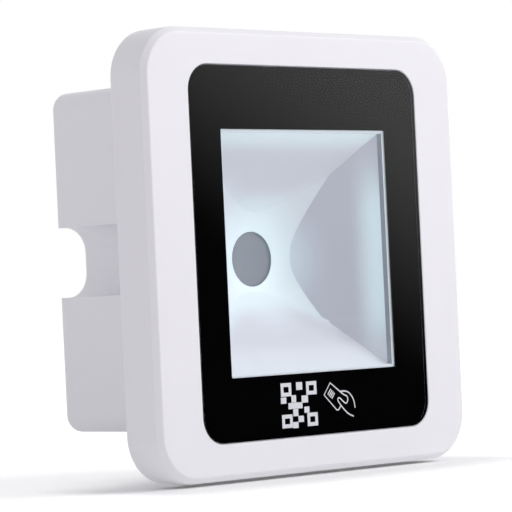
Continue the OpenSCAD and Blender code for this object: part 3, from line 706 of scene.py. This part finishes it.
# Materials by the record's slots
SLOT_MATERIALS = {
    "bezel_abs": white_abs,
    "housing_abs": housing_abs,
    "clear_acrylic": clear_acrylic,
    "black_film": black_ink,
    "opal_plastic": opal_plastic,
    "grey_filter": filter_plastic,
    "foam_tape": moulded("closed cell foam", "#151515", "#242424", 0.9, 0.25, 0.05),
    "green_board": moulded("green solder mask", "#0B4A2A", "#0F5A34", 0.35, 0.6, 0.01),
    "white_board": moulded("white solder mask", "#E4E5E3", "#EEEFED", 0.4, 0.6, 0.01),
    "blue_board": moulded("blue solder mask", "#0C2C57", "#123666", 0.35, 0.6, 0.01),
    "copper": metal("etched copper", "#B26A45", "#D08A60", 0.35, (1, 1, 1), 0.5),
    "amber_film": moulded("polyimide film", "#9A5A12", "#B06C1C", 0.25, 0.8, 0.004, 1.7),
    "ivory_plastic": moulded("moulded nylon", "#DCD6C6", "#E8E3D6", 0.45, 0.3, 0.006, 1.53),
    "lamp_phosphor": moulded("lamp phosphor", "#E0BE4A", "#EFD468", 0.6, 0.15, 0.01),
    "screw_steel": metal("zinc plated steel", "#9EA0A4", "#C4C6C8", 0.32, (1, 1, 1), 0.6),
    "black_plastic": moulded("black moulded nylon", "#141415", "#1C1C1E", 0.5, 0.3, 0.008, 1.53),
    "lens_glass": moulded("coated lens glass", "#1C2733", "#2A3848", 0.06, 0.8, 0.0005, 1.6),
    "sensor_face": moulded("sensor under glass", "#1D2226", "#2B3238", 0.12, 0.5, 0.001, 1.52),
    "brass": metal("turned brass", "#B08A45", "#D2AE66", 0.28, (1, 0.1, 1), 0.4),
    "ferrite": moulded("pressed ferrite", "#2B2B2E", "#3A3A3E", 0.7, 0.2, 0.01),
    "can_aluminium": metal("drawn aluminium", "#C2C4C6", "#DDDFE0", 0.28, (1, 0.1, 1), 0.4),
}
slot_of = {part["node"]: part["material_slot"] for part in frame["record"]["subparts"]}
for node, piece in frame["nodes"].items():
    piece.material_slots[0].material = SLOT_MATERIALS[slot_of[node]]


# Front bezel

def front_bezel():
    """One moulded frame: seat for the panel, chamfered front edge, hollow skirt and ledge."""
    seat_x = PANEL_X + PANEL_GAP
    seat_up = PANEL_UP + PANEL_GAP
    seat_corner = PANEL_CORNER + PANEL_GAP
    open_x = seat_x - LEDGE_W
    open_up = seat_up - LEDGE_W
    open_corner = seat_corner - LEDGE_W
    skirt_x = BEZEL_X - BEZEL_WALL
    skirt_up = BEZEL_UP - BEZEL_WALL
    skirt_corner = BEZEL_CORNER - BEZEL_WALL
    ledge_back = LEDGE - LEDGE_T
    bm = bmesh.new()
    loops = [
        rounded_ring(bm, seat_x, seat_up, seat_corner, FRONT),
        rounded_ring(bm, BEZEL_X, BEZEL_UP, BEZEL_CORNER, FRONT),
        rounded_ring(bm, BEZEL_X, BEZEL_UP, BEZEL_CORNER, WALL),
        rounded_ring(bm, skirt_x, skirt_up, skirt_corner, WALL),
        rounded_ring(bm, skirt_x, skirt_up, skirt_corner, ledge_back),
        rounded_ring(bm, open_x, open_up, open_corner, ledge_back),
        rounded_ring(bm, open_x, open_up, open_corner, LEDGE),
        rounded_ring(bm, seat_x, seat_up, seat_corner, LEDGE),
    ]
    bridge(bm, *loops, loops[0])
    bevel(bm, loops[1], BEZEL_CHAMFER, 1)
    bevel(bm, loops[2], BEZEL_REAR_ROUND, ROUND_STEPS)
    soften(bm, BEZEL_EDGE)
    rib_half = (RIB_REACH + BEZEL_WALL / 2) / 2
    for side in (-1, 1):
        for end in (-1, 1):
            root_x = side * (BEZEL_X - BEZEL_WALL / 2 - rib_half)
            root_up = end * (BEZEL_UP - BEZEL_WALL / 2 - rib_half)
            block(bm, root_x, end * RIB_UP, rib_half, RIB_T / 2, BASE_FRONT, ledge_back)
            block(bm, side * RIB_X, root_up, RIB_T / 2, rib_half, BASE_FRONT, ledge_back)
    finish(bm, "bezel_frame", white_abs, ["front_bezel"])


# Clear panel and the print on its back

PRINT_INSET = 0.05
PRINT_DEPTH = 0.03
SIGN_DEPTH = 0.03


def front_panel():
    """Clear slab with polished, slightly broken edges."""
    bm = bmesh.new()
    face = rounded_face(bm, rectangle(PANEL_X, PANEL_UP), [PANEL_CORNER] * 4, PANEL_BACK)
    thicken(bm, [face], PANEL_FRONT - PANEL_BACK)
    soften(bm, PANEL_EDGE)
    finish(bm, "window_panel", clear_acrylic, ["front_window"])


def black_mask():
    """Black print with the clear view in it, laid into the back of the panel."""
    front = PANEL_BACK + PRINT_DEPTH
    half_x = PANEL_X - PRINT_INSET
    half_up = PANEL_UP - PRINT_INSET
    bm = bmesh.new()
    loops = [
        rounded_ring(bm, half_x, half_up, PANEL_CORNER, front),
        rounded_ring(bm, VIEW_X, VIEW_UP, VIEW_CORNER, front),
        rounded_ring(bm, VIEW_X, VIEW_UP, VIEW_CORNER, MASK_BACK),
        rounded_ring(bm, half_x, half_up, PANEL_CORNER, MASK_BACK),
    ]
    bridge(bm, *loops, loops[0])
    finish(bm, "window_print", black_ink, ["window_mask"])


# Signs in white print: a block of code, and a card held in a hand

CODE_X = -5.05
CODE_UP = -29.75
CODE_HALF_X = 4.95
CODE_HALF_UP = 4.35
CODE_FRAME_X = 2.9
CODE_FRAME_UP = 2.6
CODE_BORDER = 0.75
# Blocks between the corner frames: middle x, middle up, width, height
CODE_BLOCKS = [
    (0.15, 3.6, 1.7, 1.5),
    (1.55, 1.0, 1.8, 1.4),
    (-4.3, 1.0, 1.5, 1.2),
    (-1.5, 1.2, 1.3, 1.4),
    (-1.1, -0.15, 3.9, 1.2),
    (-1.1, -1.5, 1.4, 1.4),
    (2.0, -1.1, 1.4, 1.2),
    (0.3, -2.8, 1.5, 1.2),
    (-1.25, -3.9, 1.5, 1.2),
]


def code_sign():
    """Generic block code: four corner frames and a few blocks."""
    back = PANEL_BACK + PRINT_DEPTH
    front = back + SIGN_DEPTH
    bm = bmesh.new()
    for side in (-1, 1):
        for end in (-1, 1):
            x = CODE_X + side * (CODE_HALF_X - CODE_FRAME_X / 2)
            up = CODE_UP + end * (CODE_HALF_UP - CODE_FRAME_UP / 2)
            loops = []
            for inset, out in ((0, front), (CODE_BORDER, front), (CODE_BORDER, back), (0, back)):
                half = rectangle(CODE_FRAME_X / 2 - inset, CODE_FRAME_UP / 2 - inset)
                loops.append(rounded_loop(bm, [(x + dx, up + dup) for dx, dup in half], SQUARE, out))
            bridge(bm, *loops, loops[0])
    for dx, dup, width, height in CODE_BLOCKS:
        block(bm, CODE_X + dx, CODE_UP + dup, width / 2, height / 2, back, front)
    finish(bm, "code_sign", white_ink)


STROKE = 0.27
STROKE_ROUND = 2
STROKE_STEPS = 6
STROKE_ORDER = 3
# Strokes of the card and the hand, as points in the front view
CARD_STROKES = [
    [(6.7, -28.0), (3.8, -26.0), (1.95, -28.3), (5.4, -31.45), (5.9, -31.4), (6.5, -30.7)],
    [(3.9, -27.2), (3.0, -28.3)],
    [(4.25, -27.48), (3.35, -28.6)],
    [(4.6, -27.75), (3.7, -28.88)],
    [(4.95, -28.05), (4.1, -29.12)],
]
HAND_STROKES = [
    [(6.4, -27.85), (7.6, -27.75), (8.9, -28.05), (9.9, -29.0), (10.5, -30.2), (10.6, -31.3)],
    [(6.76, -28.03), (7.6, -28.6), (8.3, -28.75), (8.7, -29.3), (8.5, -30.0), (8.0, -30.35),
     (7.2, -29.8), (6.3, -29.0), (5.75, -29.2), (5.8, -29.7), (6.8, -30.8), (7.8, -31.75),
     (8.8, -32.5), (10.1, -32.95)],
]


def stroke_mesh(points, kind):
    """Round stroke along points, as a mesh."""
    curve = bpy.data.curves.new("stroke", "CURVE")
    curve.dimensions = "3D"
    curve.bevel_depth = STROKE / 2 * MM
    curve.bevel_resolution = STROKE_ROUND
    curve.use_fill_caps = True
    spline = curve.splines.new(kind)
    spline.points.add(len(points) - 1)
    for point, (x, up) in zip(spline.points, points):
        point.co = (*at(x, up, 0), 1)
    spline.use_endpoint_u = True
    spline.order_u = STROKE_ORDER
    spline.resolution_u = STROKE_STEPS
    carrier = bpy.data.objects.new("stroke", curve)
    mesh = bpy.data.meshes.new_from_object(carrier)
    bpy.data.objects.remove(carrier)
    bpy.data.curves.remove(curve)
    return mesh


def card_sign():
    """Generic card held in a hand, drawn in flat strokes."""
    bm = bmesh.new()
    for strokes, kind in ((CARD_STROKES, "POLY"), (HAND_STROKES, "NURBS")):
        for points in strokes:
            mesh = stroke_mesh(points, kind)
            bm.from_mesh(mesh)
            bpy.data.meshes.remove(mesh)
    bmesh.ops.scale(bm, verts=bm.verts, vec=(1, 2 * SIGN_DEPTH / STROKE, 1))
    bmesh.ops.translate(bm, verts=bm.verts, vec=at(0, 0, PANEL_BACK + PRINT_DEPTH))
    finish(bm, "card_sign", white_ink)


# Reflector horn

CONE_END = 36
BOWL_STEPS = 14
HORN_ROUND = 0.2
HORN_STEPS = 6
HORN_LEAST = radians(65)
CREASE = radians(16)


def bowl_profile(radius, start):
    """Section of the bowl from a distance off the lens axis: an arc that runs on into a cone."""
    first = asin(start / radius)
    turns = [first + (BOWL_SLOPE - first) * step / BOWL_STEPS for step in range(BOWL_STEPS + 1)]
    arc = [(radius * sin(turn), BOWL_OUT - radius * cos(turn)) for turn in turns]
    edge_r, edge_out = arc[-1]
    return arc + [(CONE_END, edge_out + (CONE_END - edge_r) * tan(BOWL_SLOPE))]


def horn_height(x, up):
    """Depth of the horn's inner side at a place in the front view: the bowl's, or a higher wall's."""
    r = hypot(x, up - LENS_UP)
    edge_r = BOWL_R * sin(BOWL_SLOPE)
    bowl = BOWL_OUT - BOWL_R * cos(BOWL_SLOPE) + (r - edge_r) * tan(BOWL_SLOPE)
    wall = MOUTH - (MOUTH_X - abs(x)) / tan(WALL_LEAN)
    roof = MOUTH - (MOUTH_UP - abs(up)) / tan(ROOF_LEAN)
    return max(bowl, wall, roof)


def horn_side(profile, grow, ring_out):
    """One side of the horn: a bowl spun round the lens axis, cut by four leaning walls up to a ring."""
    bm = bmesh.new()
    spun(bm, profile, LENS_UP)
    walls = []
    for dx, dup in ((0, -1), (1, 0), (0, 1), (-1, 0)):
        lean = WALL_LEAN if dx else ROOF_LEAN
        half = (MOUTH_X if dx else MOUTH_UP) + grow / cos(lean)
        point = at(dx * half, dup * half, MOUTH)
        normal = at(dx * cos(lean), dup * cos(lean), -sin(lean)).normalized()
        geom = list(bm.verts) + list(bm.edges) + list(bm.faces)
        bmesh.ops.bisect_plane(
            bm, geom=geom, dist=CUT_MATCH, plane_co=point, plane_no=normal, clear_outer=True,
        )
        walls.append((point, normal))
    creases = [
        [
            edge for edge in bm.edges
            if edge.is_boundary and all(abs((v.co - point).dot(normal)) < WELD for v in edge.verts)
        ]
        for point, normal in walls
    ]
    ring = [bm.verts.new(at(x, up, ring_out)) for x, up in rectangle(MOUTH_X, MOUTH_UP)]
    for crease, first, second in zip(creases, ring, ring[1:] + ring[:1]):
        met = [vert for edge in crease for vert in edge.verts]
        ends = sorted((v for v in met if met.count(v) == 1), key=lambda v: (v.co - first.co).length)
        sides = [(first, second), (first, ends[0]), (second, ends[1])]
        outer = [bm.edges.get(pair) or bm.edges.new(pair) for pair in sides]
        bmesh.ops.contextual_create(bm, geom=crease + outer)
    mesh = bpy.data.meshes.new("horn side")
    bm.to_mesh(mesh)
    bm.free()
    return mesh


def reflector():
    """Opal horn with its rim, the flange that carries it, the lens boss and the posts behind."""
    flange_front = BASE_FRONT + FLANGE_T
    skirt_out = MOUTH - HORN_WALL / sin(WALL_LEAN)
    inner_bowl = bowl_profile(BOWL_R, THROAT_R)
    outer_bowl = bowl_profile(BOWL_R + HORN_WALL, LENS_SEAT_R)
    bore = [outer_bowl[0], (LENS_SEAT_R, LENS_FRONT), (THROAT_R, LENS_FRONT), inner_bowl[0]]
    bm = bmesh.new()
    spun(bm, bore, LENS_UP)
    for profile, grow, ring_out in ((inner_bowl, 0, MOUTH), (outer_bowl, HORN_WALL, skirt_out)):
        mesh = horn_side(profile, grow, ring_out)
        bm.from_mesh(mesh)
        bpy.data.meshes.remove(mesh)
    rim_x = MOUTH_X + RIM_WALL
    rim_up = MOUTH_UP + RIM_WALL
    inner = rounded_loop(bm, rectangle(MOUTH_X, MOUTH_UP), SQUARE, MOUTH)
    lip = rounded_loop(bm, rectangle(MOUTH_X, MOUTH_UP), SQUARE, RIM)
    edge = rounded_loop(bm, rectangle(rim_x, rim_up), SQUARE, RIM)
    foot = rounded_loop(bm, rectangle(rim_x, rim_up), SQUARE, flange_front)
    bridge(bm, inner, lip, edge, foot)
    under = rounded_loop(bm, rectangle(MOUTH_X, MOUTH_UP), SQUARE, BASE_FRONT)
    hollow = rounded_loop(bm, rectangle(MOUTH_X, MOUTH_UP), SQUARE, skirt_out)
    bridge(bm, under, hollow)
    outline = notched(FLANGE_X, FLANGE_UP, SCREW_ACCESS_X, SCREW_ACCESS_UP)
    radii = [FLANGE_CORNER, 0, 0, 0, 0, FLANGE_CORNER] * 2
    top = rounded_loop(bm, outline, radii, flange_front)
    bottom = rounded_loop(bm, outline, radii, BASE_FRONT)
    bridge(bm, top, bottom)
    fill(bm, top, foot)
    fill(bm, bottom, under)
    bmesh.ops.remove_doubles(bm, verts=bm.verts, dist=WELD)
    bmesh.ops.recalc_face_normals(bm, faces=bm.faces)
    level = [
        edge for edge in bm.edges
        if edge.is_manifold and edge.calc_face_angle() > HORN_LEAST
        and abs(edge.verts[0].co.y - edge.verts[1].co.y) < WELD
    ]
    bevel(bm, level, HORN_ROUND, HORN_STEPS)
    tube(bm, LENS_UP, LENS_SEAT_R + BOSS_GAP, BOSS_R, HORN_BACK, THROAT - BOSS_SINK)
    for side in (-1, 1):
        for end in (-1, 1):
            known = set(bm.verts)
            cylinder(bm, side * POST_X, LENS_UP + end * POST_X, POST_R, HORN_BACK, THROAT)
            # The front edge of each post follows the horn, in the middle of its wall
            for vert in set(bm.verts) - known:
                if vert.co.y < -(THROAT + HORN_BACK) / 2 * MM:
                    depth = horn_height(vert.co.x / MM, vert.co.z / MM) - HORN_WALL / 2
                    vert.co.y = -depth * MM
    finish(bm, "reflector_horn", opal_plastic, ["reflector"], CREASE)


def lens_disc():
    """Grey disc in the throat, with a broken edge."""
    bm = bmesh.new()
    cylinder(bm, 0, LENS_UP, LENS_R, LENS_BACK, LENS_FRONT)
    soften(bm, LENS_EDGE)
    finish(bm, "lens_disc", filter_plastic, ["lens_window"])


# Rear housing

def rear_housing():
    """Moulded box with a notch on each side, in one piece with the base plate."""
    floor = REAR + BOX_WALL
    inner_x = BOX_X - BOX_WALL
    inner_up = BOX_UP - BOX_WALL
    notch_x = BOX_X - NOTCH_DEPTH
    box = notched(BOX_X, BOX_UP, notch_x, NOTCH_UP)
    box_radii = [BOX_CORNER, 0, NOTCH_CORNER, NOTCH_CORNER, 0, BOX_CORNER] * 2
    room = notched(inner_x, inner_up, notch_x - BOX_WALL, NOTCH_UP + BOX_WALL)
    room_corner = BOX_CORNER - BOX_WALL
    notch_corner = NOTCH_CORNER + BOX_WALL
    room_radii = [room_corner, 0, notch_corner, notch_corner, 0, room_corner] * 2
    slot_radii = [SLOT_W / 2 - SLIVER] * 4
    bm = bmesh.new()
    plate_front = rounded_ring(bm, BASE_X, BASE_UP, BASE_CORNER, BASE_FRONT)
    plate_rear = rounded_ring(bm, BASE_X, BASE_UP, BASE_CORNER, WALL)
    box_front = rounded_loop(bm, box, box_radii, WALL)
    box_rear = rounded_loop(bm, box, box_radii, REAR)
    room_front = rounded_loop(bm, room, room_radii, BASE_FRONT)
    room_floor = rounded_loop(bm, room, room_radii, floor)
    slots = []
    for out in (BASE_FRONT, WALL):
        for side in (-1, 1):
            corners = [(side * SLOT_X + x, up) for x, up in rectangle(SLOT_LEN / 2, SLOT_W / 2)]
            slots.append(rounded_loop(bm, corners, slot_radii, out))
    hole_radii = [SOCKET_CORNER] * 4
    hole_x = SOCKET_X + SOCKET_GAP
    hole_up = SOCKET_HALF + SOCKET_GAP
    hole = [(x, SOCKET_UP + up) for x, up in rectangle(hole_x, hole_up)]
    hole_floor = rounded_loop(bm, hole, hole_radii, floor)
    hole_rear = rounded_loop(bm, hole, hole_radii, REAR)
    bridge(bm, plate_front, plate_rear)
    bridge(bm, box_front, box_rear)
    bridge(bm, room_front, room_floor)
    bridge(bm, slots[0], slots[2])
    bridge(bm, slots[1], slots[3])
    bridge(bm, hole_floor, hole_rear)
    fill(bm, plate_front, room_front, slots[0], slots[1])
    fill(bm, plate_rear, box_front, slots[2], slots[3])
    fill(bm, box_rear, hole_rear)
    fill(bm, room_floor, hole_floor)
    rim = [
        edge for edge in box_rear
        if edge.is_valid and not all(
            abs(vert.co.z) <= (NOTCH_UP + SLIVER) * MM and abs(vert.co.x) > (notch_x - SLIVER) * MM
            for vert in edge.verts
        )
    ]
    bevel(bm, rim, BOX_REAR_ROUND, ROUND_STEPS)
    soften(bm, BOX_EDGE)
    for side in (-1, 1):
        for end in (-1, 1):
            cylinder(bm, side * COLUMN_X, end * COLUMN_UP, COLUMN_R, floor, BASE_FRONT - COLUMN_GAP)
    finish(bm, "housing_shell", housing_abs, ["rear_housing"])


front_bezel()
front_panel()
black_mask()
code_sign()
card_sign()
reflector()
lens_disc()
rear_housing()


# Floor, light and camera

FLOOR_HALF = 3000
FLOOR_GAP = 0.7
FLOOR_UP = -BEZEL_UP - FLOOR_GAP
# Lift of the paper towards white, by the distance from the bezel's foot; the small lift near the foot
# paints a shadow round it
LIFT_FOOT = 0.03
LIFT_NEAR = 0.34
LIFT_FAR = 0.46
NEAR_REACH = 22
FAR_START = 40
FAR_FULL = 300
# It grows faster to the sides than to the front and rear, so the painted shadow reaches further to the
# front and rear
LIFT_WEIGHTS = (1.7, 0.85, 1)


def seen_rays(tree):
    """One for what the eye, a reflection or a look through the panel meets, and zero for light."""
    path = add(tree, "ShaderNodeLightPath").outputs
    mirrored = add(
        tree, "ShaderNodeMath", {"operation": "MAXIMUM"},
        {0: path["Is Glossy Ray"], 1: path["Is Transmission Ray"]},
    )
    seen = add(
        tree, "ShaderNodeMath", {"operation": "MAXIMUM"},
        {0: path["Is Camera Ray"], 1: mirrored.outputs["Value"]},
    )
    return seen.outputs["Value"]


def stage_sheet(name, half, place, material):
    """Flat square sheet of the stage, which is no piece of the object."""
    bm = bmesh.new()
    bmesh.ops.create_grid(bm, x_segments=1, y_segments=1, size=half * MM, matrix=place)
    mesh = bpy.data.meshes.new(name)
    bm.to_mesh(mesh)
    bm.free()
    mesh.materials.append(material)
    sheet = bpy.data.objects.new(name, mesh)
    bpy.context.scene.collection.objects.link(sheet)
    return sheet


def paper():
    """Matt white paper, lifted towards white for the eye where it is away from the bezel's foot; the small
    lift near the foot paints a shadow there.
    """
    material, tree, place = new_material("white paper sweep")
    matt = add(tree, "ShaderNodeBsdfDiffuse", {"Color": linear("#FAFAFA")})
    middle = at(0, FLOOR_UP, (FRONT + WALL) / 2)
    foot = Vector((BEZEL_X, (FRONT - WALL) / 2, 0)) * MM
    shifted = add(tree, "ShaderNodeVectorMath", {"operation": "SUBTRACT", 1: tuple(middle)}, {0: place})
    quarter = add(tree, "ShaderNodeVectorMath", {"operation": "ABSOLUTE"}, {0: shifted.outputs["Vector"]})
    past = add(
        tree, "ShaderNodeVectorMath", {"operation": "SUBTRACT", 1: tuple(foot)},
        {0: quarter.outputs["Vector"]},
    )
    outside = add(
        tree, "ShaderNodeVectorMath", {"operation": "MAXIMUM", 1: (0, 0, 0)}, {0: past.outputs["Vector"]},
    )
    weighted = add(
        tree, "ShaderNodeVectorMath", {"operation": "MULTIPLY", 1: LIFT_WEIGHTS},
        {0: outside.outputs["Vector"]},
    )
    away = add(tree, "ShaderNodeVectorMath", {"operation": "LENGTH"}, {0: weighted.outputs["Vector"]})
    near = add(
        tree, "ShaderNodeMapRange",
        {
            "interpolation_type": "SMOOTHSTEP", "From Max": NEAR_REACH * MM,
            "To Min": LIFT_FOOT, "To Max": LIFT_NEAR,
        },
        {"Value": away.outputs["Value"]},
    )
    far = add(
        tree, "ShaderNodeMapRange",
        {
            "interpolation_type": "SMOOTHSTEP", "From Min": FAR_START * MM, "From Max": FAR_FULL * MM,
            "To Max": LIFT_FAR - LIFT_NEAR,
        },
        {"Value": away.outputs["Value"]},
    )
    level = add(
        tree, "ShaderNodeMath", {"operation": "ADD"},
        {0: near.outputs["Result"], 1: far.outputs["Result"]},
    )
    lift = add(tree, "ShaderNodeEmission", None, {"Strength": level.outputs["Value"]})
    lifted = add(tree, "ShaderNodeAddShader", None, {0: matt.outputs["BSDF"], 1: lift.outputs["Emission"]})
    mixed = add(
        tree, "ShaderNodeMixShader", None,
        {0: seen_rays(tree), 1: matt.outputs["BSDF"], 2: lifted.outputs["Shader"]},
    )
    add(tree, "ShaderNodeOutputMaterial", None, {"Surface": mixed.outputs["Shader"]})
    return material


def studio_floor():
    """Pale floor that keeps the object's cast shadow, with a painted shadow round the bezel's foot, and is
    white elsewhere.
    """
    place = Matrix.Translation((0, 0, FLOOR_UP * MM))
    floor = stage_sheet("studio_floor", FLOOR_HALF, place, paper())
    floor.visible_glossy = False


# Light: the strength of the world, and a lamp's place, size, power and colour
AMBIENT = 0.62
KEY_PLACE = (900, 700, 900)
KEY_SIZE = 1000
KEY_POWER = 9.6
KEY_COLOUR = (1.0, 0.99, 0.985)


def studio_world():
    """White all round for the eye and for reflections, and softer as light on the object."""
    world = bpy.data.worlds.new("studio")
    bpy.context.scene.world = world
    world.use_nodes = True
    tree = world.node_tree
    tree.nodes.clear()
    ambient = add(tree, "ShaderNodeBackground", {"Color": linear("#FDFCFF"), "Strength": AMBIENT})
    white = add(tree, "ShaderNodeBackground", {"Color": linear("#FFFFFF"), "Strength": 1.0})
    mixed = add(
        tree, "ShaderNodeMixShader", None,
        {0: seen_rays(tree), 1: ambient.outputs["Background"], 2: white.outputs["Background"]},
    )
    add(tree, "ShaderNodeOutputWorld", None, {"Surface": mixed.outputs["Shader"]})


def key_lamp():
    """Large soft lamp in front, above and to the right."""
    lamp = bpy.data.lights.new("key_lamp", "AREA")
    lamp.shape = "DISK"
    lamp.size = KEY_SIZE * MM
    lamp.energy = KEY_POWER
    lamp.color = KEY_COLOUR
    carrier = bpy.data.objects.new("key_lamp", lamp)
    carrier.location = at(*KEY_PLACE)
    carrier.rotation_euler = (-carrier.location).to_track_quat("-Z", "Y").to_euler()
    bpy.context.scene.collection.objects.link(carrier)


# Card that only shows in gloss: black up to a height, and rising to white from there
CARD_AWAY = 600
CARD_HALF = 420
CARD_BLACK_UP = -10.7
CARD_RISE = 130.98
# Height that each millimetre to the side adds
CARD_SLANT = 0.75644
CARD_WHITE = 0.97


def graded(middle, side):
    """Light that rises from black to white with height, and with the distance to one side."""
    material, tree, place = new_material("graded card")
    slant = Vector((0, 0, 1)) + side * CARD_SLANT
    height = add(tree, "ShaderNodeVectorMath", {"operation": "DOT_PRODUCT", 1: tuple(slant)}, {0: place})
    black = CARD_BLACK_UP * MM + CARD_SLANT * side.dot(middle)
    grade = add(
        tree, "ShaderNodeMapRange",
        {
            "interpolation_type": "SMOOTHSTEP", "From Min": black, "From Max": black + CARD_RISE * MM,
            "To Max": CARD_WHITE,
        },
        {"Value": height.outputs["Value"]},
    )
    shine = add(tree, "ShaderNodeEmission", None, {"Strength": grade.outputs["Result"]})
    add(tree, "ShaderNodeOutputMaterial", None, {"Surface": shine.outputs["Emission"]})
    return material


def gloss_card(direction):
    """Graded card seen only by reflections, which grades the sheen on the black panel."""
    middle = at(0, 0, FRONT) + direction * CARD_AWAY * MM
    side = Vector((-direction.y, direction.x, 0)).normalized()
    turn = (-direction).to_track_quat("Z", "Y").to_matrix().to_4x4()
    card = stage_sheet("gloss_card", CARD_HALF, Matrix.Translation(middle) @ turn, graded(middle, side))
    card.visible_camera = False
    card.visible_diffuse = False
    card.visible_transmission = False
    card.visible_shadow = False


# Camera, fitted to edges measured in the photograph
CAMERA_PLACE = at(-402.45, -9.01, 399.35)
CAMERA_RIGHT = Vector((0.7097, -0.7029, -0.0471))
CAMERA_UP = Vector((0.0228, -0.0440, 0.9988))
CAMERA_LENS = 201.65
SENSOR = 36


def camera():
    """Long lens from the left, just below the middle of the part."""
    data = bpy.data.cameras.new("camera")
    data.lens = CAMERA_LENS
    data.sensor_width = SENSOR
    carrier = bpy.data.objects.new("camera", data)
    back = CAMERA_RIGHT.cross(CAMERA_UP).normalized()
    up = back.cross(CAMERA_RIGHT).normalized()
    right = up.cross(back)
    turn = Matrix((right, up, back)).transposed().to_4x4()
    carrier.matrix_world = Matrix.Translation(CAMERA_PLACE) @ turn
    bpy.context.scene.collection.objects.link(carrier)
    bpy.context.scene.camera = carrier
    return -back


sight = camera()
studio_floor()
studio_world()
key_lamp()
gloss_card(Vector((sight.x, -sight.y, sight.z)))
bpy.context.scene.view_settings.view_transform = "Standard"
